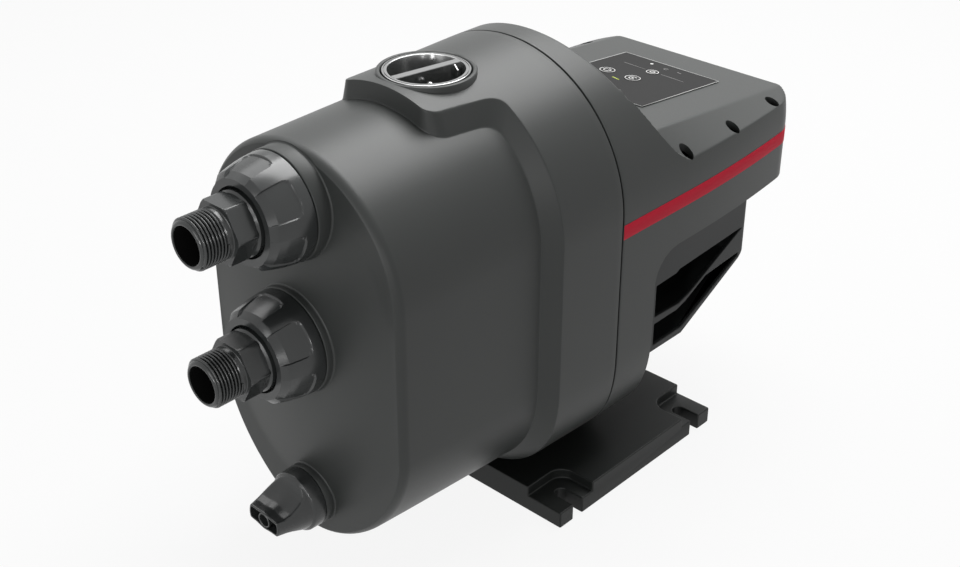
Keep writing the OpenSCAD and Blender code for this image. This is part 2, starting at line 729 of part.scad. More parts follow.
module drain_plug() {
  grip = [[0, 5.5], [12.3, 5.7], [17.4, 6.9], [22.4, 9.2], [26.3, 11.4], [29.2, 13.4], [36, 16.3]];
  y0 = y_drain - 2.5;
  color("#3b3d3d") difference() {
    union() {
      rod(drain_r, y0 - 8, y0, drain_z);
      rod(10, y0 - 1, y_face + shell_t + 3, drain_z);
      intersection() {
        translate([0, y0 - 34, drain_z]) rotate([-90, 0, 0]) cylinder(r1 = 14.2, r2 = drain_r - 3, h = 27);
        translate([0, y0 - 40, drain_z]) rotate([0, 5, 0]) along_x(-30, 30)
          polygon([for (s = [-1, 1], k = [0:6]) let (g = grip[s < 0 ? k : 6 - k]) [g[0], s * g[1]]]);
      }
    }
    translate([0, y0, drain_z]) rotate([0, 5, 0]) {
      for (sx = [-1, 1]) translate([sx * 9.8 - 2.4, -50, -3.6]) cube([4.8, 30, 7.2]);
      rod(4.6, -50, -18, 0);
    }
  }
}

module drain_ring() {
  color("#141414") tube(18, 10 + fit, y_drain - 2.2, y_drain - 0.3, drain_z);
}

base_plate();
base_screws();
pump_housing();
bracket();
bracket_seal();
rear_cover();
cover_screws();
tray();
control_film();
button_power();
button_mode();
button_set();
circuit_board();
capacitors();
heat_sink();
stripe_left();
stripe_right();
motor_frame();
stator_core();
winding_front();
winding_rear();
end_shield();
front_bearing();
rear_bearing();
shaft();
rotor_core();
fan();
fan_cover();
cable_gland();
gland_nut();
seal_seat();
seal_ring();
impeller_1();
impeller_2();
shaft_nut();
diffuser_1();
diffuser_2();
pump_sleeve();
suction_cover();
valve_cage();
valve_poppet();
valve_spring();
pressure_sensor();
upper_connector();
upper_gasket();
upper_nut();
lower_connector();
lower_gasket();
lower_nut();
priming_plug();
priming_ring();
drain_plug();
drain_ring();
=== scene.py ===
# Looks of a booster pump unit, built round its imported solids. Sizes in the tables are millimetres.
import json
import math

import bmesh
import bpy
import numpy as np
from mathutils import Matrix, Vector


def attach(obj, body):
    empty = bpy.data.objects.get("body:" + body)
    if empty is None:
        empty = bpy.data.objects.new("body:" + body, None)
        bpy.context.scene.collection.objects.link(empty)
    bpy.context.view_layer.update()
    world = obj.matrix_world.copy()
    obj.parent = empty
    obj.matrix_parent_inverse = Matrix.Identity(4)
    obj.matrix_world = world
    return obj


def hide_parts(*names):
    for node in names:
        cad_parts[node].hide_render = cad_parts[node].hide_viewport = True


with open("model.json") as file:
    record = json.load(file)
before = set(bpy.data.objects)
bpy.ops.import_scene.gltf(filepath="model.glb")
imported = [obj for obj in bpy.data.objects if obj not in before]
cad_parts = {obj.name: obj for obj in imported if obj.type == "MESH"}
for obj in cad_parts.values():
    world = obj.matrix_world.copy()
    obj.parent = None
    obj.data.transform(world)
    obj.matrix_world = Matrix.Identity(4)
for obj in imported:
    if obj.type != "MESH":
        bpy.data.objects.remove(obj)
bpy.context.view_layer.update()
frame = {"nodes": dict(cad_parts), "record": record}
nodes = frame["nodes"]
scene = bpy.context.scene
mm = 0.001
print("frame loaded:", len(nodes), "nodes")


# camera at the photo's angle, 960 x 567
view = {"place": (616.8, -712.8, 661.5), "turn": 43.01, "height": 30.05, "lens": 55.24}
lens = bpy.data.cameras.new("photoLens")
lens.lens = view["lens"]
lens.sensor_width = 36
lens.clip_start, lens.clip_end = 0.05, 50
photoCamera = bpy.data.objects.new("photoCamera", lens)
photoCamera.location = Vector(view["place"]) * mm
photoCamera.rotation_euler = (math.radians(90 - view["height"]), 0, math.radians(view["turn"]))
scene.collection.objects.link(photoCamera)
scene.camera = photoCamera
scene.view_settings.view_transform = "Standard"


# small helpers for colour, nodes and meshes

def toLinear(hexColour):
    parts = [int(hexColour[i:i + 2], 16) / 255 for i in (1, 3, 5)]
    return [c / 12.92 if c <= 0.04045 else ((c + 0.055) / 1.055) ** 2.4 for c in parts] + [1.0]


def addNode(tree, kind, settings=None, **links):
    node = tree.nodes.new(kind)
    for key, value in (settings or {}).items():
        if isinstance(key, str) and hasattr(node, key) and key not in node.inputs:
            setattr(node, key, value)
        else:
            node.inputs[key].default_value = value
    for key, source in links.items():
        slot = int(key[1:]) if key[0] == "i" and key[1:].isdigit() else key.replace("_", " ")
        # a node given for a socket stands for its first output
        tree.links.new(source if hasattr(source, "is_output") else source.outputs[0], node.inputs[slot])
    return node


def quadGrid(points, wrap=False):
    # quads over rows x columns of points, wrap joins the last column to the first
    points = np.asarray(points, float)
    rows, cols = points.shape[:2]
    index = np.arange(rows * cols).reshape(rows, cols)
    nextCol = np.roll(index, -1, axis=1)
    last = cols if wrap else cols - 1
    faces = np.stack([index[:-1, :last], nextCol[:-1, :last], nextCol[1:, :last], index[1:, :last]], axis=-1)
    return points.reshape(-1, 3), faces.reshape(-1, 4).tolist()


def ringsRound(rows, turn, height):
    # grid of rings round a level axis along Y: each row is a reach, one number or one for each angle, and a Y
    return np.array([np.stack([reach * np.cos(turn), np.full(len(turn), y), height + reach * np.sin(turn)], -1)
                     for reach, y in rows])


def turned(profile, centre, axis, segments=96):
    # profile of (radius, height) spun round an axis through centre, heights along that axis
    angles = np.linspace(0, 2 * math.pi, segments, endpoint=False)
    if axis == "Y":
        return quadGrid(ringsRound(profile, math.pi - angles, centre[2]), wrap=True)
    x, y = centre
    return quadGrid([np.stack([x + r * np.cos(angles), y + r * np.sin(angles), np.full(segments, z)], -1)
                     for r, z in profile], wrap=True)


def sectionAt(ring, y):
    # a flat outline set upright at y, one number or one for each point
    return np.stack([ring[:, 0], np.full(len(ring), y), ring[:, 1]], -1)


def halved(isLow, low, high, times):
    # the value between low and high where isLow stops being true, for each column
    for _ in range(times):
        middle = (low + high) / 2
        up = isLow(middle)
        low, high = np.where(up, middle, low), np.where(up, high, middle)
    return (low + high) / 2


def edgeInset(past, radius):
    # how far a rounded edge has drawn in at a distance past its start
    return radius - math.sqrt(max(radius ** 2 - max(past, 0) ** 2, 0))


def softMax(a, b, k):
    h = np.maximum(k - np.abs(a - b), 0) / k
    return np.maximum(a, b) + h * h * k / 4


def softMin(a, b, k):
    return -softMax(-a, -b, k)


def makePiece(name, parts, body, slotName, stands=(), sharp=None, material=None, outward=True):
    # joins point and face lists into one mesh object that rides on a body, in the finish of its slot or its own
    mesh = bpy.data.meshes.new(name)
    points, faces, start = [], [], 0
    for partPoints, partFaces in parts:
        points.append(np.asarray(partPoints, float) * mm)
        faces += [[start + i for i in f] for f in partFaces]
        start += len(partPoints)
    mesh.from_pydata(np.concatenate(points).tolist(), [], faces)
    shape = bmesh.new()
    shape.from_mesh(mesh)
    bmesh.ops.remove_doubles(shape, verts=shape.verts, dist=0.002 * mm)
    bmesh.ops.dissolve_degenerate(shape, edges=shape.edges, dist=1e-7)
    if outward:
        bmesh.ops.recalc_face_normals(shape, faces=shape.faces)
    shape.to_mesh(mesh)
    shape.free()
    mesh.shade_smooth()
    if sharp:
        mesh.set_sharp_from_angle(angle=math.radians(sharp))
    piece = bpy.data.objects.new(name, mesh)
    scene.collection.objects.link(piece)
    mesh.materials.append(material or finishes[slotName])
    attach(piece, body)
    if stands:
        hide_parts(*stands)
    return piece


# materials

def grained(name, rough, spread, grain, depth, strength, noiseRough):
    # a material whose polish and relief follow one fine noise: grain is its spacing in mm, depth its height in mm
    made = bpy.data.materials.new(name)
    made.use_nodes = True
    tree = made.node_tree
    shader = tree.nodes["Principled BSDF"]
    place = addNode(tree, "ShaderNodeTexCoord").outputs["Object"]
    fine = addNode(tree, "ShaderNodeTexNoise", {"Scale": 1 / (grain * mm), "Detail": 3.0, "Roughness": noiseRough},
                   Vector=place)
    polish = addNode(tree, "ShaderNodeMapRange", {"To Min": rough - spread[0], "To Max": rough + spread[1]},
                     Value=fine.outputs["Fac"])
    tree.links.new(polish.outputs["Result"], shader.inputs["Roughness"])
    relief = addNode(tree, "ShaderNodeBump", {"Strength": strength, "Distance": depth * mm}, Height=fine.outputs["Fac"])
    tree.links.new(relief.outputs["Normal"], shader.inputs["Normal"])
    return made, tree, shader, place


def mouldedPlastic(name, colour, rough, grain, depth, tone=0.06, spec=0.5):
    # moulded plastic: the colour also drifts by its tone, over wide soft clouds
    made, tree, shader, place = grained(name, rough, (0.05, 0.06), grain, depth, 0.5, 0.6)
    cloud = addNode(tree, "ShaderNodeTexNoise", {"Scale": 1 / (70 * mm), "Detail": 2.0}, Vector=place)
    low, high = ([c * share for c in toLinear(colour)[:3]] + [1] for share in (1 - tone, 1 + tone))
    shade = addNode(tree, "ShaderNodeMix", {"data_type": "RGBA", 6: low, 7: high}, i0=cloud.outputs["Fac"])
    tree.links.new(shade.outputs[2], shader.inputs["Base Color"])
    shader.inputs["IOR"].default_value = 1.5
    shader.inputs["Specular IOR Level"].default_value = spec
    return made


def plainMetal(name, colour, rough, grain, metal=1.0):
    # machined, cast or plated metal: a fine uneven polish over one colour
    made, _, shader, _ = grained(name, rough, (0.08, 0.1), grain, 0.05, 0.3, 0.5)
    shader.inputs["Base Color"].default_value = toLinear(colour)
    shader.inputs["Metallic"].default_value = metal
    return made


finishes = {
    # glass filled polyamide, spark textured mould: an even dark grey with a soft wide highlight
    "body_plastic": mouldedPlastic("polyamideSparkTextured", "#383a39", 0.42, 0.9, 0.05, spec=0.3),
    # black polypropylene, matt moulded: nearly no highlight but along the edges
    "base_plastic": mouldedPlastic("polypropyleneMattMoulded", "#1b1d1c", 0.45, 1.0, 0.06, spec=0.22),
    # black polyamide, smooth moulded: a narrower highlight than the body has
    "union_plastic": mouldedPlastic("polyamideSmoothMoulded", "#343636", 0.22, 0.8, 0.012, spec=0.5),
    # black polypropylene of the fan cover and of pieces out of sight
    "black_plastic": mouldedPlastic("polypropyleneBlackMoulded", "#222424", 0.45, 1.0, 0.05, spec=0.25),
    # printed polyester film, velvet finish: flat grey, finer than the body's texture
    "film": mouldedPlastic("polyesterFilmVelvet", "#232323", 0.5, 0.4, 0.01, 0.02, spec=0.08),
    "film_key": mouldedPlastic("polyesterFilmDomed", "#252525", 0.48, 0.4, 0.01, 0.02, spec=0.08),
    # red ABS strip, satin moulded: strong even colour
    "red_stripe": mouldedPlastic("absRedSatin", "#d2293f", 0.6, 0.7, 0.015, 0.03, spec=0.1),
    # black nitrile rubber, pressed: dull
    "rubber": mouldedPlastic("nitrileRubberPressed", "#161616", 0.75, 0.6, 0.03),
    "board": mouldedPlastic("solderMaskGreen", "#2f5a3c", 0.35, 0.5, 0.01),
    "ceramic": mouldedPlastic("aluminaCeramicLapped", "#dedbd2", 0.25, 0.4, 0.005),
    "hydraulic_plastic": mouldedPlastic("noryl20GlassFilled", "#cbbf9c", 0.45, 0.8, 0.03),
    # metals, most of them out of sight
    "zinc_steel": plainMetal("zincPlatedSteel", "#b9bcbf", 0.35, 0.5),
    "steel": plainMetal("stainlessSteelTurned", "#c3c5c7", 0.28, 0.3),
    "lamination": plainMetal("siliconSteelStamped", "#777b80", 0.45, 0.5),
    "cast_aluminium": plainMetal("aluminiumDieCastPainted", "#4a4d4e", 0.5, 1.2, 0.3),
    "copper": plainMetal("copperWireEnamelled", "#b5682f", 0.3, 0.8),
    "brass_fitting": plainMetal("brassTurned", "#c9a552", 0.3, 0.4),
}
# the priming cap is the body's plastic from a polished mould: its rim and bar shine
capPlastic = mouldedPlastic("polyamidePolishedMould", "#3e403f", 0.18, 0.9, 0.005, spec=1.0)
capShader = capPlastic.node_tree.nodes["Principled BSDF"]
for socket, value in (("IOR", 2.0), ("Coat Weight", 1.0), ("Coat Roughness", 0.16)):
    capShader.inputs[socket].default_value = value
# painted shade: a black sleeve in the waterway's bore stands in for the shade deep inside it
boreShadeSleeve = mouldedPlastic("polyamideBoreWall", "#0b0b0b", 0.8, 0.8, 0.02, spec=0.03)
# white screen ink on the film: plain and matt
whiteInk = mouldedPlastic("screenInkWhite", "#e4e4e2", 0.6, 0.3, 0.004, 0.02)
greyInk = mouldedPlastic("screenInkGrey", "#7b7b7a", 0.6, 0.3, 0.004, 0.02)
# clear yellow green window of the status light
statusGlow = mouldedPlastic("acrylicWindowGreen", "#b7c83a", 0.25, 0.5, 0.004, 0.02)
# painted highlight: a pale line round the film stands in for the light its cut edge catches
paintedEdgeHighlight = mouldedPlastic("paintedFilmEdgeHighlight", "#a9aaa9", 0.4, 0.3, 0.004, 0.02)

for part in frame["record"]["subparts"]:
    shown = nodes[part["node"]].data
    shown.materials.clear()
    shown.materials.append(finishes[part["material_slot"]])
print("materials made:", len(finishes) + 6)


# front tank: arch, upright sides and rounded foot, with a ramp up to the larger body and a tongue on top

tank = {
    "arch": 213.5, "face": -215.0, "edgeTight": 1.3, "edgeSlow": 8.2, "edgeTurn": 38.0, "seam": -24.6,
    "wide": 88.0, "rampWide": 90.5, "crestWide": 101.6, "seamWide": 103.0,
    "ramp": -92.0, "rampRun": 9.0, "crestEnd": -83.0, "crestRun": 58.6,
    "tongueFront": -139.9, "tongueHalf": 46.0, "tongueFlare": 0.11, "tongueFlareFrom": -121.0, "tongueCorner": 14.0,
    "tongueRunFront": 1.5, "tongueRunSide": 5.2, "dome": 7.4, "domeCentre": 168.0, "domeHalf": (84.0, 120.0),
    "prime": (0.0, -101.0), "primeHole": 30.6, "footTop": 110.0, "footLow": 15.0, "bodyLow": 21.0,
    "footPower": 1.7, "bodyFoot": 112.0, "bodyPower": 2.5, "crease": 0.022,
}
seamRound = 0.5
ports = {"upper": 265.0, "lower": 171.0}


def footCurve(foot, wide, footTop, footLow, power):
    # the rounded foot of a section, from the side to the bottom centre
    return np.stack([wide * np.maximum(np.cos(foot), 0) ** (2 / power),
                     footTop - (footTop - footLow) * np.sin(foot) ** (2 / power)], -1)


def outline(phi, side, foot, wide, footTop, footLow, power):
    # right half of one section from the top centre to the bottom centre; the first three are column values
    arch = np.stack([wide * np.sin(phi), tank["arch"] + wide * np.cos(phi)], -1)
    upright = np.stack([np.full(len(side), wide), tank["arch"] + (footTop - tank["arch"]) * side], -1)
    return np.concatenate([arch, upright, footCurve(foot, wide, footTop, footLow, power)])


def rampShare(n, e):
    return 0.5 * (np.sqrt(n * n + e * e) - np.sqrt((n - 1) ** 2 + e * e)) + 0.5


def raisedAt(x, y):
    # 0 on the tank, 1 on the raised body, seen from above
    t = tank
    main = (y - t["ramp"]) / t["rampRun"]
    c = t["tongueCorner"]
    half = t["tongueHalf"] + t["tongueFlare"] * max(y - t["tongueFlareFrom"], -6)
    qx, qy = np.abs(x) - (half - c), t["tongueFront"] + c - y + 0 * x
    corner = np.hypot(np.maximum(qx, 0), np.maximum(qy, 0))
    away = corner + np.minimum(np.maximum(qx, qy), 0) - c
    sideways = np.where(qx > 0, qx / np.maximum(corner, 1e-6), 0) ** 2
    run = t["tongueRunFront"] + (t["tongueRunSide"] - t["tongueRunFront"]) * sideways
    return rampShare(softMax(main, -away / run, 1.6), t["crease"])


def domeAt(x, z):
    # how far the face swells forward
    t = tank
    far = (x / t["domeHalf"][0]) ** 2 + ((z - t["domeCentre"]) / t["domeHalf"][1]) ** 2
    return t["dome"] * np.maximum(1 - far, 0) ** 1.2


def steps(*stops):
    # (from, step) pairs and a last value, as one rising list
    out = []
    for (start, step), following in zip(stops[:-1], stops[1:]):
        end = following[0] if isinstance(following, tuple) else following
        count = max(1, round((end - start) / step))
        out += list(np.linspace(start, end, count, endpoint=False))
    return np.array(out + [stops[-1]])


def tankSkin():
    t = tank
    phi = np.radians(steps((0, 0.55), (24.5, 0.3), (34, 0.8), (44, 2.2), 90.0))
    side = np.linspace(0, 1, 12)[1:]
    foot = np.radians(np.linspace(0, 90, 30)[1:])
    # the front edge turns quickly off the face, then slowly into the side
    tight = np.radians(np.linspace(0, t["edgeTurn"], 8))
    slow = np.radians(np.linspace(t["edgeTurn"], 90, 12)[1:])
    edge = [(t["edgeTight"] * math.sin(a), t["edgeTight"] * (1 - math.cos(a))) for a in tight]
    outAt, backAt = edge[-1]
    edge += [(outAt + t["edgeSlow"] * (math.sin(a) - math.sin(tight[-1])),
              backAt + t["edgeSlow"] * (math.cos(tight[-1]) - math.cos(a))) for a in slow]
    edge = np.array(edge)
    edgeEnd = t["face"] + edge[-1, 1]
    ys = list(t["face"] + edge[:, 1])
    # close rows at the tongue's front and along the ramp
    ys += list(steps((edgeEnd, 6), (-150, 1.5), (-142, 0.2), (-136.5, 0.8), (-94, 0.4), (-81, 0.9), (-66, 5),
                     t["seam"] - 0.6)[1:])
    ys += [t["seam"] - 0.3, t["seam"] - 0.1, t["seam"]]
    rows = []
    for inset in list(np.linspace(84, 8, 26)) + [6.5, 5.2]:
        half = outline(phi, side, foot, t["wide"] - inset, t["footTop"], t["footLow"] + inset, t["footPower"])
        ring = np.concatenate([half, half[-2:0:-1] * [-1, 1]])
        rows.append(sectionAt(ring, t["face"] - domeAt(ring[:, 0], ring[:, 1])))
    for i, y in enumerate(ys):
        inset = edge[-1, 0] - edge[i, 0] if i < len(edge) else edgeInset(y - t["seam"] + seamRound, seamRound)
        s = min(max((y - edgeEnd) / (t["ramp"] - edgeEnd), 0), 1)
        wide = t["wide"] + (t["rampWide"] - t["wide"]) * s
        lowTank = outline(phi, side, foot, wide - inset, t["footTop"],
                          t["footLow"] + (t["bodyLow"] - t["footLow"]) * s + inset, t["footPower"] + 0.4 * s)
        b = min(max((y - t["crestEnd"]) / t["crestRun"], 0), 1)
        bodyWide = t["crestWide"] + (t["seamWide"] - t["crestWide"]) * b
        high = outline(phi, side, foot, bodyWide - inset, t["bodyFoot"], t["bodyLow"] + inset, t["bodyPower"] + 0.1 * b)
        # how far each point has risen from the tank to the body, found by halving
        onArch = np.arange(len(high)) < len(phi)
        onSide = rampShare(np.full(len(high), (y - t["ramp"]) / t["rampRun"]), t["crease"])

        def stillRising(share):
            x = lowTank[:, 0] + (high[:, 0] - lowTank[:, 0]) * share
            return np.where(onArch, raisedAt(x, y), onSide) > share

        mid = halved(stillRising, np.zeros(len(high)), np.ones(len(high)), 26)[:, None]
        half = lowTank * (1 - mid) + high * mid
        ring = np.concatenate([half, half[-2:0:-1] * [-1, 1]])
        rows.append(sectionAt(ring, y))
    return np.array(rows)


def openHole(points, faces, centre, radius, pull, test):
    # draws the grid's points onto a circle seen from above and drops the faces inside it
    flat = points[:, :2] - np.array(centre)
    far = np.hypot(flat[:, 0], flat[:, 1])
    near = (np.abs(far - radius) < pull) & test
    scale = np.where(near, radius / np.maximum(far, 1e-6), 1)
    points = points.copy()
    points[:, :2] = np.array(centre) + flat * scale[:, None]
    inside = (far < radius - pull / 3) & test
    kept = [f for f in faces if not any(inside[i] for i in f)]
    return points, kept


tankRows = tankSkin()
tankPoints, tankFaces = quadGrid(tankRows, wrap=True)
tankPoints, tankFaces = openHole(tankPoints, tankFaces, tank["prime"], tank["primeHole"], 0.6,
                                 test=tankPoints[:, 2] > 290)
columns = tankRows.shape[1]
# the innermost ring of the face is closed by a strip across it
last = columns // 2
faceCap = [[columns - i, columns - 1 - i, i + 1, i] for i in range(1, last - 1)]
faceCap += [[columns - 1, 1, 0], [last + 1, last, last - 1]]
rearCap = [list(range(columns))]
collar = {"out": 32.2, "top": 315.25, "low": 300.0, "hole": 29.4, "seat": 302.3, "stem": 26.05}
c = collar
collarRing = turned([(33.4, c["low"]), (32.3, 309.0), (c["out"], 314.5), (31.7, 315.1), (31.2, c["top"]),
                     (30.1, c["top"]), (29.6, 315.0), (c["hole"], 314.5), (c["hole"], c["seat"]),
                     (c["stem"], c["seat"]), (c["stem"], 285.0)], tank["prime"], "Z")
boss = {"out": 36.0, "front": -226.2, "spigot": 29.0, "spigotEnd": -238.2, "way": 15.0, "root": 1.3}
drainSeat = {"height": 47.5, "out": 21.5, "front": -222.0, "way": 10.05, "root": 1.3}
wayEnd = -205.0


def standing(portZ, out, root, profile):
    # a round boss with a small fillet where it leaves the swelling face, then its own profile
    angles = math.pi - np.linspace(0, 2 * math.pi, 128, endpoint=False)
    rows = []
    for a in np.radians([0, 15, 30, 50, 70, 90]):
        reach = out + root * (1 - math.sin(a))
        x, z = reach * np.cos(angles), portZ + reach * np.sin(angles)
        rows.append(np.stack([x, tank["face"] + 0.06 - domeAt(x, z) - root * (1 - math.cos(a)), z], -1))
    return quadGrid(np.concatenate([rows, ringsRound(profile, angles, portZ)]), wrap=True)


b = boss
bossProfile = [(b["out"], -225.6), (b["out"] - 0.2, -226.0), (b["out"] - 0.6, b["front"]), (b["spigot"], b["front"]),
               (b["spigot"], -237.6), (b["spigot"] - 0.6, b["spigotEnd"]), (b["way"] + 0.5, b["spigotEnd"]),
               (b["way"], -237.7), (b["way"], wayEnd)]
bossParts = [standing(portZ, b["out"], b["root"], bossProfile) for portZ in ports.values()]
b = drainSeat
drainProfile = [(b["out"], -221.6), (b["out"] - 0.3, b["front"]), (b["way"], b["front"]), (b["way"], wayEnd)]
drainBoss = standing(b["height"], b["out"], b["root"], drainProfile)
tankParts = [(tankPoints, tankFaces), (tankRows[0], faceCap), (tankRows[-1], rearCap), collarRing, *bossParts,
             drainBoss]
tankPiece = makePiece("tankSkin", tankParts, "body", "body_plastic", ["pump_housing"], sharp=48, outward=False)
print("tank skin:", len(tankPiece.data.polygons), "faces")


# rear cover: the arch runs on, then a slanted face drops to the sloping controller top

cover = {
    "front": -23.3, "rear": 201.0, "corner": 26.0, "wide": 103.0, "bow": 8.5, "bowFrom": 43.0, "bowLong": 137.0,
    "tilt": 0.0985, "topAt69": 248.5, "edgeX": 77.3, "edgeZ": 231.8, "edgeRound": 1.4, "backRound": 4.0,
    "faceSlope": 2.571, "faceFoot": 21.36, "faceBlend": 30.0, "lagWide": 25.0, "lag": (12.0, 9.0),
    "crestRound": ((50, 10.0), (62, 6.0), (80, 6.5)), "chamferRound": 0.9,
    "hoodEdge": ((16, 150), (17, 154.5), (18.5, 158.5), (21, 162.4), (26, 167.2), (33, 170.7), (42, 172)),
    "skirtRear": 16.0, "skirtTop": 150.0, "skirtPower": 2.6, "wall": 4.6, "screwSeat": 212.5,
    "screws": ((95.8, 52.0), (93.8, 110.0), (88.0, 169.0)), "recess": 4.6, "mouth": (5.5, 4.7),
}
cornerStart = cover["rear"] - cover["corner"]


def coverBow(y):
    # how far the sides draw in behind the widest place
    return cover["bow"] * (max(y - cover["bowFrom"], 0) / cover["bowLong"]) ** 2


def coverHalf(y):
    # half width of the cover along its length
    return cover["wide"] - coverBow(y) - edgeInset(y - cornerStart, cover["corner"])


def faceRise(x, y):
    # height of the slanted face over the controller top; it lags behind towards the sides
    u = np.clip((np.abs(x) - cover["edgeX"]) / cover["lagWide"], 0, 1.04)
    lag = cover["lag"][0] * u + cover["lag"][1] * u ** 3
    return (cover["faceFoot"] - (y - lag)) * cover["faceSlope"]


def controllerZ(x, y):
    # height of the slanted face or the controller top over a point
    c = cover
    x = np.abs(x)
    top = c["topAt69"] - c["tilt"] * (y - 69)
    past = softMax(x - c["edgeX"], np.zeros_like(x), c["edgeRound"])
    falls = past / (c["wide"] - coverBow(y) - 0.5 - c["edgeX"]) * (top - c["edgeZ"])
    drop = edgeInset(y - (c["rear"] - c["backRound"]), c["backRound"])
    return top - falls + softMax(faceRise(x, y), np.zeros_like(x), c["faceBlend"]) - drop


def hoodEdge(y):
    # height of the hood's lower edge
    return float(np.interp(y, *zip(*cover["hoodEdge"])))


def coverSkin():
    c = cover
    phi = np.radians(steps((0, 1.1), (48, 0.55), (62.5, 0.3), (67.5, 0.45), (78.3, 0.25), (81.8, 1.7), 90.0))
    faceCrest = np.interp(np.degrees(phi), *zip(*c["crestRound"]))
    ys = [c["front"], c["front"] + 0.1, c["front"] + 0.3]
    ys += list(steps((c["front"] + 0.6, 1.9), (-7.5, 0.9), (16, 0.6), (57, 3.2), cornerStart + 1))
    ys += [cornerStart + c["corner"] * math.sin(math.radians(a))
           for a in (6, 11, 17, 23, 29, 35, 41, 47, 53, 59, 65, 70, 75, 79, 83, 87, 90)]
    hoodRows, skirtRows = [], []
    down = np.linspace(0, 1, 9)[1:]
    foot = np.radians(np.linspace(0, 90, 30)[1:])
    for y in ys:
        inset = edgeInset(c["front"] + seamRound - y, seamRound)
        wide = coverHalf(y) - inset

        def under(r):
            return tank["arch"] + r * np.cos(phi) < controllerZ(r * np.sin(phi), y)

        r = halved(under, np.zeros(len(phi)), np.full(len(phi), 200.0), 30)
        onFace = np.clip(0.5 + faceRise(r * np.sin(phi), y) / (2 * c["faceBlend"]), 0, 1)
        r = softMin(np.full(len(phi), wide), r, c["chamferRound"] + (faceCrest - c["chamferRound"]) * onFace)
        r = np.minimum(r, wide)
        arch = np.stack([r * np.sin(phi), tank["arch"] + r * np.cos(phi)], -1)
        wall = np.stack([np.full(len(down), arch[-1, 0]), tank["arch"] + (hoodEdge(y) - tank["arch"]) * down], -1)
        half = np.concatenate([arch, wall])
        ring = np.concatenate([half[::-1], half[1:] * [-1, 1]])
        hoodRows.append(sectionAt(ring, y))
        if y <= c["skirtRear"] + 1e-6:
            side = np.stack([np.full(5, wide), np.linspace(c["skirtTop"], tank["bodyFoot"], 5)], -1)
            low = footCurve(foot, wide, tank["bodyFoot"], tank["bodyLow"] + inset, c["skirtPower"])
            half = np.concatenate([side, low])
            ring = np.concatenate([half[:-1], half[::-1] * [-1, 1]])
            skirtRows.append(sectionAt(ring, y))
    return np.array(hoodRows), np.array(skirtRows)


hoodRows, skirtRows = coverSkin()
hoodPoints, hoodFaces = quadGrid(hoodRows)
hoodFaces = [f[::-1] for f in hoodFaces]
skirtPoints, skirtFaces = quadGrid(skirtRows)
hoodColumns = hoodRows.shape[1]
backCap = [list(range(hoodColumns - 1, -1, -1))]
coverPiece = makePiece("coverSkin", [(hoodPoints, hoodFaces), (skirtPoints, skirtFaces), (hoodRows[-1], backCap)],
                       "body", "body_plastic", ["rear_cover"], outward=False)
wallThickness = coverPiece.modifiers.new("wall", "SOLIDIFY")
wallThickness.thickness = cover["wall"] * mm
wallThickness.offset = -1
# the screws' wells: an upright oval mouth is bored through the sloping edge, and a round wall goes on below it
drillPoints, drillFaces, recessParts = [], [], []
angles = np.linspace(0.03, 2 * math.pi + 0.03, 48, endpoint=False)
mouthX, mouthY = cover["mouth"]
for holeX, holeY in cover["screws"]:
    well = cover["recess"] + 0.1
    level, deep = controllerZ(np.array([holeX, holeX + well]), holeY)
    for sign in (1, -1):
        oval = np.column_stack([sign * holeX + mouthX * np.cos(angles), holeY + mouthY * np.sin(angles), 0 * angles])
        points, faces = quadGrid(np.array([oval + [0, 0, level - 10.7], oval + [0, 0, level + 9.1]]), wrap=True)
        faces += [list(range(48))[::-1], list(range(48, 96))]
        drillFaces += [[len(drillPoints) + i for i in face] for face in faces]
        drillPoints += (points * mm).tolist()
        wellProfile = [(well, deep - 2.5), (well, cover["screwSeat"]), (well / 2, cover["screwSeat"])]
        recessParts.append(turned(wellProfile, (sign * holeX, holeY), "Z", 48))
drillMesh = bpy.data.meshes.new("recessDrills")
drillMesh.from_pydata(drillPoints, [], drillFaces)
drillShape = bmesh.new()
drillShape.from_mesh(drillMesh)
bmesh.ops.recalc_face_normals(drillShape, faces=drillShape.faces)
drillShape.to_mesh(drillMesh)
drillShape.free()
drill = bpy.data.objects.new("recessDrills", drillMesh)
scene.collection.objects.link(drill)
cutting = coverPiece.modifiers.new("recesses", "BOOLEAN")
cutting.object, cutting.operation, cutting.solver = drill, "DIFFERENCE", "MANIFOLD"
bored = bpy.data.meshes.new_from_object(coverPiece.evaluated_get(bpy.context.evaluated_depsgraph_get()))
coverPiece.modifiers.clear()
coverPiece.data = bored
bpy.data.objects.remove(drill)
bored.shade_smooth()
bored.set_sharp_from_angle(angle=math.radians(40))
makePiece("screwRecesses", recessParts, "body", "body_plastic", sharp=40, outward=False)
print("rear cover skin:", len(coverPiece.data.polygons), "faces")


# red stripe on each side of the cover, let into the wall

stripe = {"low": 199.8, "high": 210.4, "proud": 0.35, "root": -0.4, "soft": 0.15, "turnEnd": 46}
for name, sign in (("stripe_right", 1), ("stripe_left", -1)):
    ys = list(np.linspace(cover["front"] + 0.3, cornerStart, 60))
    ys += list(cornerStart + cover["corner"] * np.sin(np.radians(np.linspace(3, stripe["turnEnd"], 16))))
    low, high, root, top, soft = (stripe[size] for size in ("low", "high", "root", "proud", "soft"))
    section = ((root, low), (top - 0.1, low), (top, low + soft), (top, high - soft), (top - 0.1, high), (root, high))
    across = [[(sign * (coverHalf(y) + out), y, z) for out, z in section] for y in ys]
    stripPoints, stripFaces = quadGrid(np.array(across), wrap=True)
    end = 6 * (len(ys) - 1)
    caps = [[0, 1, 2, 3, 4, 5], [end + i for i in (5, 4, 3, 2, 1, 0)]]
    makePiece(name + "Strip", [(stripPoints, stripFaces + caps)], "body", "red_stripe", [name], sharp=40)
print("stripes made")


# union nuts: a domed ring with six shallow pockets, so that six ridges stand between them

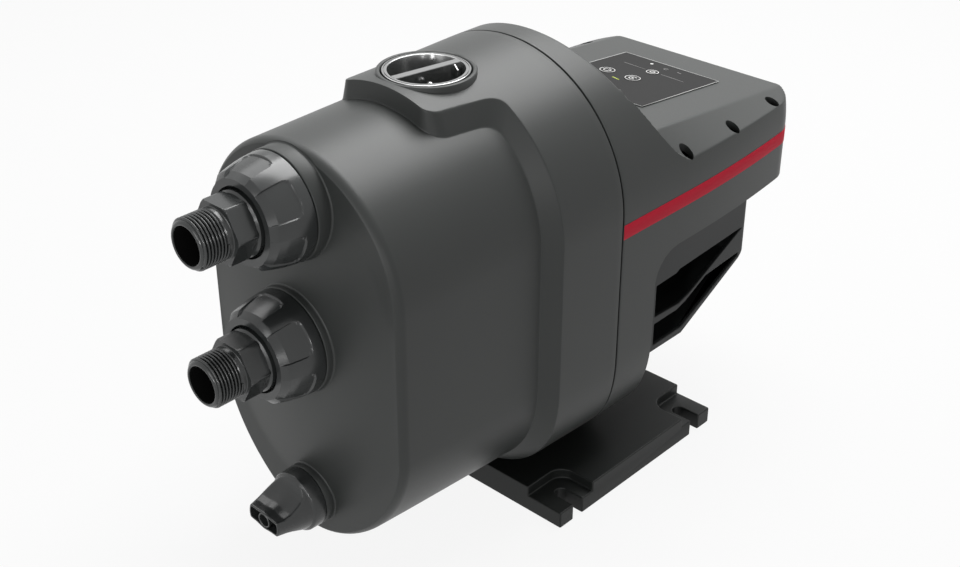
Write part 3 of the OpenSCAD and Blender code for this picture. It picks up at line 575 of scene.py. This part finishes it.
nut = {
    "ridgeAt": 4.0, "pocketHalf": 20.0, "pocketEnd": -234.4,
    "pocketFloor": ((-255.4, 27.4), (-250.2, 30.3), (-245.0, 31.9), (-238.0, 33.6), (-233.6, 34.6)),
    "pocketCorner": 5.0, "pocketDeep": 0.98, "pocketFlat": 0.4, "edgeSoft": 0.3,
    "front": -255.5, "back": -226.7, "bore": 29.05, "mouth": 22.5, "step": -247.0, "flat": 27.3, "reach": 33.0,
    "domeFront": -252.0, "domeLong": 24.0, "domeLow": 31.2, "domeRise": 4.3, "domeBend": 0.68,
}


def nutSkin(portZ):
    n = nut
    domeY = steps((n["domeFront"], 0.9), (-250.2, 1.3), (-238.0, 0.45), (-231.5, 1.1), -228.2)
    t = (domeY - n["domeFront"]) / n["domeLong"]
    dome = np.column_stack([n["domeLow"] + n["domeRise"] * ((1 + n["domeBend"]) * t - n["domeBend"] * t * t), domeY])
    inside = [(n["mouth"], n["step"]), (n["mouth"], n["front"] + 0.6), (n["mouth"] + 0.15, n["front"] + 0.2),
              (n["mouth"] + 0.6, n["front"])]
    lip = [(n["flat"] - 0.1, n["front"]), (n["flat"] + 0.25, n["front"] + 0.12), (n["flat"] + 0.6, n["front"] + 0.4),
           (29.4, -253.95), (30.5, -252.9), (30.9, -252.5)]
    foot = [(35.5, -227.3), (35.35, -226.9), (35.0, n["back"]), (n["bore"], n["back"]), (n["bore"], n["step"]),
            (n["mouth"], n["step"])]
    profile = np.concatenate([inside, lip, dome, foot])
    sector = steps((0, 2.4), (8.4, 0.3), (11.6, 2.8), (48.4, 0.3), (51.6, 2.4), 60.0)[:-1]
    angles = np.radians(np.concatenate([sector + 60 * i for i in range(6)]))
    away = np.abs(np.tile(sector, 6) - 30)
    c = n["pocketCorner"]
    qu = np.radians(away)[None, :] * n["reach"] - (math.radians(n["pocketHalf"]) * n["reach"] - c)
    qv = (profile[:, 1] - (n["pocketEnd"] - c))[:, None] + 0 * qu
    edge = np.hypot(np.maximum(qu, 0), np.maximum(qv, 0)) + np.minimum(np.maximum(qu, qv), 0) - c
    share = np.clip(0.5 - edge / (2 * n["edgeSoft"]), 0, 1)
    share = share * share * (3 - 2 * share)
    share[profile[:, 0] < n["flat"] + 0.1] = 0
    share[-6:] = 0
    # the floors bend less than the dome does: deepest in the middle
    bend = n["pocketDeep"] + n["pocketFlat"] * (1 / np.cos(np.radians(away)) - 1)
    floor = np.interp(profile[:, 1], *zip(*n["pocketFloor"]))[:, None] * bend
    reach = profile[:, :1] - share * np.maximum(profile[:, :1] - floor, 0)
    return quadGrid(ringsRound(zip(reach, profile[:, 1]), angles + math.radians(n["ridgeAt"]), portZ), wrap=True)


for name, portZ in ports.items():
    makePiece(name + "NutSkin", [nutSkin(portZ)], name + "_union_nut", "union_plastic", [name + "_nut"], sharp=8.5)
print("union nuts made")


# pipe ends: flange, hexagon and a plain core; the thread on it is a geometry node tree

pipeEnd = {
    "bore": 12.2, "liner": (12.05, 12.18), "flange": 27.0, "flangeRear": -240.7, "flangeFront": -246.7, "barrel": 20.9,
    "hexRear": -258.0, "hexFront": -272.5, "hexCorner": 21.2, "cornerSoft": 0.2, "neck": 16.2, "end": -294.0,
}
thread = {
    "core": 15.0, "sunk": 0.12, "crest": 1.7, "pitch": 2.309, "turns": 7.1, "start": -275.8, "perTurn": 72,
    "foot": 2.2, "top": 0.5,
}


def nodeTree(name, sizes):
    # a geometry tree with a geometry output and one named input for each size
    tree = bpy.data.node_groups.new(name, "GeometryNodeTree")
    tree.interface.new_socket("Geometry", in_out="INPUT", socket_type="NodeSocketGeometry")
    for label, (kind, value) in sizes.items():
        socket = tree.interface.new_socket(label, in_out="INPUT", socket_type="NodeSocket" + kind)
        socket.default_value = value
    tree.interface.new_socket("Geometry", in_out="OUTPUT", socket_type="NodeSocketGeometry")
    return tree, tree.nodes.new("NodeGroupInput").outputs


def bakeTree(tree, result, material, name, values, source=None):
    # ends the tree, sets its inputs by identifier and keeps the result as a plain mesh object
    if "finish" not in tree.nodes:
        real = addNode(tree, "GeometryNodeRealizeInstances", {}, Geometry=result)
        dressed = addNode(tree, "GeometryNodeSetMaterial", {"name": "finish", "Material": material},
                          Geometry=real)
        addNode(tree, "NodeGroupOutput", {}, Geometry=dressed)
    carrier = bpy.data.objects.new(name + "Carrier", source or bpy.data.meshes.new(name + "Carrier"))
    scene.collection.objects.link(carrier)
    live = carrier.modifiers.new("shape", "NODES")
    live.node_group = tree
    for socket in tree.interface.items_tree:
        if socket.in_out == "INPUT" and socket.name in values:
            live[socket.identifier] = values[socket.name]
    mesh = bpy.data.meshes.new_from_object(carrier.evaluated_get(bpy.context.evaluated_depsgraph_get()))
    bpy.data.objects.remove(carrier)
    mesh.name = name
    piece = bpy.data.objects.new(name, mesh)
    scene.collection.objects.link(piece)
    return piece


def threadTree():
    tree, given = nodeTree("pipeThread", {
        "Core": ("Float", 0.015), "Crest": ("Float", 0.0015), "Pitch": ("Float", 0.0023), "Turns": ("Float", 7.7),
        "Per Turn": ("Int", 72), "Foot": ("Float", 0.0022), "Top": ("Float", 0.0005), "Place": ("Vector", (0, 0, 0))})
    long = addNode(tree, "ShaderNodeMath", {"operation": "MULTIPLY"}, i0=given["Pitch"], i1=given["Turns"])
    wire = addNode(tree, "GeometryNodeCurveSpiral", {}, Resolution=given["Per Turn"], Rotations=given["Turns"],
                   Start_Radius=given["Core"], End_Radius=given["Core"], Height=long)
    upright = addNode(tree, "GeometryNodeSetCurveNormal", {"mode": "Z_UP"}, Curve=wire)
    along = addNode(tree, "GeometryNodeSplineParameter")
    fadeIn = addNode(tree, "ShaderNodeMapRange", {"From Max": 0.12}, Value=along.outputs["Factor"])
    fadeOut = addNode(tree, "ShaderNodeMapRange", {"From Min": 1.0, "From Max": 0.9}, Value=along.outputs["Factor"])
    fade = addNode(tree, "ShaderNodeMath", {"operation": "MULTIPLY"}, i0=fadeIn, i1=fadeOut)
    swelled = addNode(tree, "GeometryNodeSetCurveRadius", {}, Curve=upright, Radius=fade)
    ridge = addNode(tree, "GeometryNodeCurvePrimitiveQuadrilateral", {"mode": "TRAPEZOID", "Offset": 0.0},
                    Height=given["Crest"], Bottom_Width=given["Foot"], Top_Width=given["Top"])
    half = addNode(tree, "ShaderNodeMath", {"operation": "MULTIPLY", 1: 0.5}, i0=given["Crest"])
    lift = addNode(tree, "ShaderNodeCombineXYZ", {}, Y=half)
    stood = addNode(tree, "GeometryNodeTransform", {}, Geometry=ridge, Translation=lift)
    leant = addNode(tree, "GeometryNodeTransform", {"Rotation": (0, 0, math.pi / 2)}, Geometry=stood)
    swept = addNode(tree, "GeometryNodeCurveToMesh", {"Fill Caps": True}, Curve=swelled,
                    Profile_Curve=leant)
    laid = addNode(tree, "GeometryNodeTransform", {"Rotation": (math.pi / 2, 0, 0)}, Geometry=swept,
                   Translation=given["Place"])
    return tree, laid


cut, cutResult = threadTree()


def pipeEndSkin(portZ):
    e = pipeEnd
    sector = steps((0, 0.35), (2.1, 3.0), (57.9, 0.35), 60.0)[:-1]
    angles = np.radians(np.concatenate([sector + 60 * i for i in range(6)]))
    folded = np.abs((np.degrees(angles) + 30) % 60 - 30)  # degrees from the nearest corner
    apothem = e["hexCorner"] * math.cos(math.pi / 6)
    flat = apothem / np.cos(np.radians(30 - folded))
    hexagon = flat - e["cornerSoft"] * np.exp(-(folded / 1.6) ** 2)
    rows = [(e["bore"], -243.0), (e["bore"] + 0.3, e["flangeRear"]), (e["flange"] - 0.5, e["flangeRear"]),
            (e["flange"], -241.2), (e["flange"], -246.2), (e["flange"] - 0.5, e["flangeFront"]),
            (e["barrel"] + 0.6, e["flangeFront"]), (e["barrel"], -247.3), (e["barrel"], -256.8),
            (e["barrel"] - 1.4, e["hexRear"])]
    chamfers = ((1.3, e["hexRear"]), (1.9, -258.3), (2.6, -258.7), (2.6, -271.8), (1.9, -272.2), (1.3, e["hexFront"]))
    rows += [(np.minimum(hexagon, apothem + 0.35 + lift), y) for lift, y in chamfers]
    rows += [(e["neck"] + 0.6, e["hexFront"]), (e["neck"] + 0.15, -272.8), (e["neck"], -273.2), (e["neck"], -275.6),
             (thread["core"], -276.8), (thread["core"], -291.9), (15.2, -292.3), (14.9, -292.9), (14.3, -293.5),
             (13.6, -293.9), (13.1, e["end"]), (12.7, -293.95), (12.35, -293.7), (e["bore"], -293.2),
             (e["bore"], -243.0)]
    return quadGrid(ringsRound(rows, angles, portZ), wrap=True)


for name, portZ in ports.items():
    makePiece(name + "PipeEnd", [pipeEndSkin(portZ)], name + "_union", "union_plastic", [name + "_connector"], sharp=32)
    cutThread = bakeTree(cut, cutResult, finishes["union_plastic"], name + "Thread", {
        "Core": (thread["core"] - thread["sunk"]) * mm, "Crest": thread["crest"] * mm, "Pitch": thread["pitch"] * mm,
        "Turns": thread["turns"], "Per Turn": thread["perTurn"], "Foot": thread["foot"] * mm, "Top": thread["top"] * mm,
        "Place": (0, thread["start"] * mm, portZ * mm)})
    # the black sleeve paints the shade inside the bore
    inner, outer = pipeEnd["liner"]
    liner = [(outer, -293.3), (inner, -293.2), (inner, -243.2), (outer, -243.2), (outer, -293.3)]
    makePiece(name + "BoreWall", [turned(liner, (0, 0, portZ), "Y")], name + "_union", "union_plastic",
              material=boreShadeSleeve)
    print(name, "thread:", len(cutThread.data.polygons), "faces")
    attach(cutThread, name + "_union")


# priming cap: flat rim with a fine groove, a deep well, a cross bar with a rib and a small vent pin

cap = {
    "centre": tank["prime"], "rim": 28.4, "top": 315.3, "seat": 305.35, "stem": 25.95, "stemEnd": 287.3,
    "groove": 27.1, "well": 24.9, "floor": 291.4, "bar": 5.6, "barReach": 25.6, "barTurn": 79.0, "rib": (19.4, 20.3),
    "pin": (7.0, -105.0), "pinRadius": 2.3, "pinTop": 309.5,
}


def barAcross(profile, direction, start, end, centre):
    # a profile of (sideways, height) swept along a level direction, closed at both ends
    along = np.array([math.cos(direction), math.sin(direction), 0])
    sideways = np.array([-along[1], along[0], 0])
    ends = [np.array([*centre, 0]) + along * reach for reach in (start, end)]
    rows = [[place + sideways * u + np.array([0, 0, h]) for u, h in profile] for place in ends]
    points, faces = quadGrid(np.array(rows), wrap=True)
    count = len(profile)
    return points, faces + [list(range(count)), list(range(2 * count - 1, count - 1, -1))]


k = cap
capProfile = [(0, k["stemEnd"]), (k["stem"] - 0.6, k["stemEnd"]), (k["stem"], k["stemEnd"] + 0.6),
              (k["stem"], k["seat"]), (k["rim"], k["seat"]), (k["rim"], k["top"] - 0.5),
              (k["rim"] - 0.15, k["top"] - 0.15), (k["rim"] - 0.5, k["top"]),
              (k["groove"] + 0.3, k["top"]), (k["groove"] + 0.18, k["top"] - 0.6), (k["groove"] - 0.18, k["top"] - 0.6),
              (k["groove"] - 0.3, k["top"]), (k["well"] + 0.5, k["top"]), (k["well"] + 0.15, k["top"] - 0.15),
              (k["well"], k["top"] - 0.5), (k["well"] - 0.25, k["floor"] + 1.4), (k["well"] - 0.7, k["floor"] + 0.4),
              (k["well"] - 1.6, k["floor"]), (0, k["floor"])]
half = k["bar"] / 2
barProfile = [(-half, 290.0), (half, 290.0), (half, k["top"] - 0.35), (half - 0.35, k["top"]),
              (0.35 - half, k["top"]), (-half, k["top"] - 0.35)]
ribProfile = [(-6.4, 290.5), (-2.0, 290.5), (-2.0, 314.2), (-2.6, 314.4), (-6.4, 311.5)]
barTurn = math.radians(k["barTurn"])
capParts = [turned(capProfile, k["centre"], "Z", 128),
            barAcross(barProfile, barTurn, -k["barReach"], k["barReach"], k["centre"]),
            barAcross(ribProfile, barTurn, *k["rib"], k["centre"])]
makePiece("primingCapSkin", capParts, "priming_cap", "body_plastic", ["priming_plug"], sharp=40, material=capPlastic)
pinProfile = [(0, 290.8), (k["pinRadius"], 290.8)]
pinProfile += [(k["pinRadius"] * math.cos(a), k["pinTop"] - 2 + 2 * math.sin(a))
               for a in np.radians(np.linspace(0, 84, 7))]
pinProfile += [(0, k["pinTop"])]
makePiece("ventPin", [turned(pinProfile, k["pin"], "Z", 32)], "priming_cap", "body_plastic", sharp=50,
          material=capPlastic)
print("priming cap made")


# drain cap: round flange, then a cone pinched flat above and below, with three pockets in its end

drain = {
    "centre": (0, 0, drainSeat["height"]), "flange": 21.5, "rear": -224.5, "front": -232.5, "end": -258.3,
    "rootCone": 19.6, "endCone": 14.3, "lean": 5.0, "belly": 1.3, "wall": 1.15, "skirt": 18.6, "skirtRear": -222.4,
    "pocketFloor": -246.0, "tube": 5.5, "tubeBore": 4.3, "stem": 10.0, "stemEnd": -207.2, "web": (0.5, 3.9),
    "pinch": ((-258.3, 5.5), (-252, 5.7), (-247, 6.9), (-242, 9.2), (-238, 11.4), (-235.4, 13.4), (-233.8, 15.6),
              (-232.9, 19.0)),
}


def drainSkin():
    d = drain
    angles = np.linspace(0, 2 * math.pi, 144, endpoint=False)
    lean = np.abs(np.sin(angles)) + 1e-4

    def ring(y, inset=0.0):
        share = (y - d["front"]) / (d["end"] - d["front"])
        cone = d["rootCone"] + (d["endCone"] - d["rootCone"]) * share - inset
        pinched = np.interp(y, *zip(*d["pinch"])) - inset
        full = pinched + d["belly"] * lean ** 3
        return softMin(np.full(len(angles), cone), full / lean, 1.6)

    rows = [(0.0, d["stemEnd"]), (d["stem"] - 0.8, d["stemEnd"]), (d["stem"], d["stemEnd"] - 0.8),
            (d["stem"], d["rear"]), (d["skirt"], d["rear"]), (d["skirt"], d["skirtRear"]),
            (d["flange"] - 0.3, d["skirtRear"]),
            (d["flange"], d["skirtRear"] - 0.3), (d["flange"] - 0.25, d["front"] + 1.3),
            (d["flange"] - 0.6, d["front"] + 0.5), (d["flange"] - 1.3, d["front"] + 0.1)]
    rows += [(ring(y), y) for y in steps((-258.0, 0.9), (-240.0, 0.45), -232.8)[::-1]]
    rims = ((0.15, -258.2), (0.4, d["end"]), (d["wall"] - 0.2, d["end"]), (d["wall"], -258.1),
            (d["wall"] + 0.3, d["pocketFloor"]))
    rows += [(ring(d["end"], inset), y) for inset, y in rims] + [(0.0, d["pocketFloor"])]
    return quadGrid(ringsRound(rows, angles - math.radians(d["lean"]), d["centre"][2]), wrap=True)


d = drain
tubeRoot = d["pocketFloor"] + 1
tubeRing = turned([(d["tube"], tubeRoot), (d["tube"], -257.9), (d["tube"] - 0.3, -258.2), (d["tubeBore"] + 0.3, -258.2),
                   (d["tubeBore"], -257.9), (d["tubeBore"], tubeRoot), (d["tube"], tubeRoot)], d["centre"], "Y", 64)
thin, tall = d["web"]
webProfile = [(u, d["centre"][2] + h) for u, h in ((-thin, -tall), (thin, -tall), (thin, tall), (-thin, tall))]
webs = barAcross(webProfile, -math.pi / 2, 246.5, 255.0, (0, 0))
makePiece("drainCapSkin", [drainSkin(), tubeRing, webs], "drain_cap", "union_plastic", ["drain_plug"], sharp=42)
print("drain cap made")


# control film: a painted highlight along its cut edge, printed rings and marks, and the window of the status light

film = {
    "half": 44.0, "near": 68.85, "far": 163.75, "edge": 0.8, "filmTop": 0.62, "keyTop": 0.82, "ink": 0.07, "sunk": 0.05,
}
filmKeys = {"power_key": (-24.0, 115.0, 6.0), "mode_key": (0.0, 115.0, 6.0), "set_key": (0.0, 139.5, 4.9)}


def onTop(points):
    # heights given above the sloping controller top
    points = np.asarray(points, float).copy()
    points[:, 2] += cover["topAt69"] - cover["tilt"] * (points[:, 1] - 69)
    return points


def inkPlate(corners, low):
    corners = np.asarray(corners, float)
    count = len(corners)
    levels = (low - film["sunk"], low + film["ink"])
    points = np.concatenate([np.column_stack([corners, np.full(count, level)]) for level in levels])
    sides = [[i, (i + 1) % count, count + (i + 1) % count, count + i] for i in range(count)]
    return onTop(points), sides + [list(range(count - 1, -1, -1)), list(range(count, 2 * count))]


def inkRing(x, y, outer, inner, low, span=(0, 360)):
    whole = span[1] - span[0] >= 360
    angles = np.radians(np.linspace(span[0], span[1], 48, endpoint=not whole))
    under, over = low - film["sunk"], low + film["ink"]
    section = ((inner, under), (outer, under), (outer, over), (inner, over), (inner, under))
    rows = [np.column_stack([x + r * np.cos(angles), y + r * np.sin(angles), np.full(48, h)]) for r, h in section]
    points, faces = quadGrid(np.array(rows), wrap=whole)
    if not whole:
        faces += [[0, 48, 96, 144], [191, 143, 95, 47]]
    return onTop(points), faces


def inkLine(x0, y0, x1, y1, wide, low):
    along = np.array([x1 - x0, y1 - y0]) / math.hypot(x1 - x0, y1 - y0) * wide / 2
    side = np.array([-along[1], along[0]])
    ends = [np.array([x0, y0]), np.array([x1, y1])]
    return inkPlate([ends[0] - side, ends[1] - side, ends[1] + side, ends[0] + side], low)


f = film
# pale lines along the film's four edges paint the highlight of its cut edge
edgeHighlightParts = [inkLine(x, f["near"], x, f["far"], f["edge"], f["filmTop"]) for x in (-f["half"], f["half"])]
edgeHighlightParts += [inkLine(-f["half"], y, f["half"], y, f["edge"], f["filmTop"]) for y in (f["near"], f["far"])]
makePiece("paintedEdgeLines", edgeHighlightParts, "body", "film", material=paintedEdgeHighlight)
faint = [inkLine(-28.5, 141.5, -7.4, 140.7, 0.6, f["filmTop"]), inkLine(7.4, 140.3, 29.0, 139.5, 0.6, f["filmTop"]),
         inkRing(2, 154, 1.9, 1.2, f["filmTop"], (30, 330)), inkLine(12.0, 154.9, 16.0, 154.2, 0.9, f["filmTop"])]
makePiece("filmMarks", faint, "body", "film", material=greyInk)
makePiece("filmDot", [inkRing(-13, 156, 1.3, 0.05, f["filmTop"])], "body", "film", material=whiteInk)
window = inkPlate([(-11.5, 104.5), (-4.2, 103.0), (-4.0, 104.2), (-11.3, 105.7)], f["filmTop"])
makePiece("statusWindow", [window], "body", "film", material=statusGlow)
signs = {
    "power_key": lambda x, y, h: [inkRing(x, y, 3.1, 2.4, h, (-240, 60)), inkLine(x, y + 1.0, x, y + 3.7, 0.7, h)],
    "mode_key": lambda x, y, h: [inkRing(x, y, 3.1, 2.4, h, (40, 330)), inkRing(x, y, 0.9, 0.05, h)],
    "set_key": lambda x, y, h: [inkRing(x, y, 2.3, 1.5, h)],
}
for body, (x, y, reach) in filmKeys.items():
    marks = [inkRing(x, y, reach, reach - 0.55, f["keyTop"]), *signs[body](x, y, f["keyTop"])]
    makePiece(body + "Sign", marks, body, "film_key", material=whiteInk)
print("film printed")


# fan cover and base plate keep their solids' shape, with the fine rounded edges of a moulding

def edgedCopy(name, node, body, slotName, width):
    shape = bmesh.new()
    shape.from_mesh(nodes[node].data)
    bmesh.ops.remove_doubles(shape, verts=shape.verts, dist=1e-6)
    bmesh.ops.dissolve_limit(shape, angle_limit=math.radians(1), verts=shape.verts, edges=shape.edges)
    mesh = bpy.data.meshes.new(name)
    shape.to_mesh(mesh)
    shape.free()
    mesh.materials.clear()
    mesh.materials.append(finishes[slotName])
    piece = bpy.data.objects.new(name, mesh)
    scene.collection.objects.link(piece)
    rounded = piece.modifiers.new("edges", "BEVEL")
    rounded.width, rounded.segments = width * mm, 3
    rounded.limit_method, rounded.angle_limit = "ANGLE", math.radians(28)
    rounded.harden_normals = True
    rounded.use_clamp_overlap = False
    mesh.shade_smooth()
    mesh.set_sharp_from_angle(angle=math.radians(35))
    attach(piece, body)
    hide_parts(node)


edgedCopy("basePlateSkin", "base_plate", "body", "base_plastic", 1.1)
edgedCopy("fanCoverSkin", "fan_cover", "body", "black_plastic", 0.7)
print("base and fan cover edged")


# socket screws in the cover's recesses and under the base

screws = {
    "cover_screws": {
        "places": [(sign * x, y, cover["screwSeat"]) for x, y in cover["screws"] for sign in (1, -1)],
        "head": 4.2, "high": 4.0, "shank": 2.1, "long": 10.4, "down": 0.0},
    "base_screws": {
        "places": [(sign * 22.0, y, 6.0) for y in (-58.0, 31.0) for sign in (1, -1)],
        "head": 5.0, "high": 4.0, "shank": 3.0, "long": 20.0, "down": math.pi},
}


def screwTree():
    tree, given = nodeTree("socketScrews", {
        "Head": ("Float", 0.0042), "High": ("Float", 0.004), "Shank": ("Float", 0.002), "Long": ("Float", 0.01),
        "Turn": ("Vector", (0, 0, 0))})
    shares = (("rise", "High", 0.5), ("sink", "Long", -0.499), ("socket", "Head", 0.56), ("lid", "High", 1.0),
              ("deep", "High", 1.1))
    halves = {name: addNode(tree, "ShaderNodeMath", {"operation": "MULTIPLY", 1: share}, i0=given[source]).outputs[0]
              for name, source, share in shares}
    head = addNode(tree, "GeometryNodeMeshCylinder", {"Vertices": 40}, Radius=given["Head"], Depth=given["High"])
    drive = addNode(tree, "GeometryNodeMeshCylinder", {"Vertices": 6}, Radius=halves["socket"], Depth=halves["deep"])
    up, lid, down = (addNode(tree, "ShaderNodeCombineXYZ", {}, Z=halves[part]) for part in ("rise", "lid", "sink"))
    raised = addNode(tree, "GeometryNodeTransform", {}, Geometry=head, Translation=up)
    tool = addNode(tree, "GeometryNodeTransform", {}, Geometry=drive, Translation=lid)
    cutHead = addNode(tree, "GeometryNodeMeshBoolean", {"operation": "DIFFERENCE"}, i0=raised,
                      i1=tool)
    shank = addNode(tree, "GeometryNodeMeshCylinder", {"Vertices": 24}, Radius=given["Shank"], Depth=given["Long"])
    lowered = addNode(tree, "GeometryNodeTransform", {}, Geometry=shank, Translation=down)
    whole = addNode(tree, "GeometryNodeJoinGeometry")
    for part in (cutHead.outputs[0], lowered.outputs[0]):
        tree.links.new(part, whole.inputs[0])
    toRotation = addNode(tree, "FunctionNodeEulerToRotation", {}, i0=given["Turn"])
    placed = addNode(tree, "GeometryNodeInstanceOnPoints", {}, Points=given["Geometry"], Instance=whole,
                     Rotation=toRotation)
    return tree, placed


screwNodes, screwResult = screwTree()
for node, set_ in screws.items():
    spots = bpy.data.meshes.new(node + "Spots")
    spots.from_pydata([[c * mm for c in place] for place in set_["places"]], [], [])
    made = bakeTree(screwNodes, screwResult, finishes["zinc_steel"], node + "Heads", {
        "Head": set_["head"] * mm, "High": set_["high"] * mm, "Shank": set_["shank"] * mm,
        "Long": set_["long"] * mm, "Turn": (set_["down"], 0, 0)}, spots)
    made.data.shade_smooth()
    made.data.set_sharp_from_angle(angle=math.radians(35))
    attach(made, "body")
    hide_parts(node)
    print(node, len(made.data.polygons), "faces")


# floor, lamps and world
floorMesh = bpy.data.meshes.new("studioFloor")
floorMesh.from_pydata([(-8, -8, 0), (8, -8, 0), (8, 8, 0), (-8, 8, 0)], [], [(0, 1, 2, 3)])
floor = bpy.data.objects.new("studioFloor", floorMesh)
scene.collection.objects.link(floor)
floorPaper = bpy.data.materials.new("whitePaperSweep")
floorPaper.use_nodes = True
paper = floorPaper.node_tree.nodes["Principled BSDF"]
paper.inputs["Base Color"].default_value = (0.6, 0.6, 0.6, 1)
paper.inputs["Roughness"].default_value = 0.9


def whiteWhereSeen(tree, plain, kind, end, most):
    # mixes in plain white for what the camera, a reflection or a clear piece sees of the background
    white = addNode(tree, kind, {"Color": (1, 1, 1, 1), "Strength": 1.0})
    rays = addNode(tree, "ShaderNodeLightPath").outputs
    two = addNode(tree, "ShaderNodeMath", {"operation": "MAXIMUM"}, i0=rays["Is Camera Ray"], i1=rays["Is Glossy Ray"])
    three = addNode(tree, "ShaderNodeMath", {"operation": "MAXIMUM"}, i0=two, i1=rays["Is Transmission Ray"])
    share = addNode(tree, "ShaderNodeMath", {"operation": "MULTIPLY", 1: most}, i0=three)
    mixed = addNode(tree, "ShaderNodeMixShader", {}, i0=share, i1=plain, i2=white)
    tree.links.new(mixed.outputs[0], tree.nodes[end].inputs["Surface"])


whiteWhereSeen(floorPaper.node_tree, paper, "ShaderNodeEmission", "Material Output", 0.9)
floorMesh.materials.append(floorPaper)

studio = bpy.data.worlds.new("studioWorld")
scene.world = studio
studio.use_nodes = True
soft = studio.node_tree.nodes["Background"]
soft.inputs["Color"].default_value = (1, 1, 1, 1)
soft.inputs["Strength"].default_value = 0.02
whiteWhereSeen(studio.node_tree, soft, "ShaderNodeBackground", "World Output", 1.0)

lamps = {
    "topBox": {"place": (-0.15, 0.65, 1.55), "aim": (0, -0.05, 0.2), "size": (1.2, 1.2), "power": 37},
    "leftBox": {"place": (-0.9, 0.1, 1.4), "aim": (0, -0.05, 0.2), "size": (0.8, 0.8), "power": 4.5},
    "frontBox": {"place": (0.1, -1.6, 0.7), "aim": (0, -0.05, 0.2), "size": (0.6, 0.6), "power": 4},
    "edgeLamp": {"place": (1.35, -1.08, 0.6), "aim": (0, -0.1, 0.2), "size": (0.25, 0.25), "power": 2},
    "sparkLamp": {"place": (0.65, -1.4, 0.5), "aim": (0, -0.2, 0.2), "size": (0.1, 0.1), "power": 2.6},
}
for name, set_ in lamps.items():
    lampData = bpy.data.lights.new(name, "AREA")
    lampData.shape = "RECTANGLE"
    lampData.size, lampData.size_y = set_["size"]
    lampData.energy = set_["power"]
    lamp = bpy.data.objects.new(name, lampData)
    lamp.location = set_["place"]
    lamp.rotation_euler = (Vector(set_["aim"]) - Vector(set_["place"])).to_track_quat("-Z", "Y").to_euler()
    scene.collection.objects.link(lamp)
print("studio set")
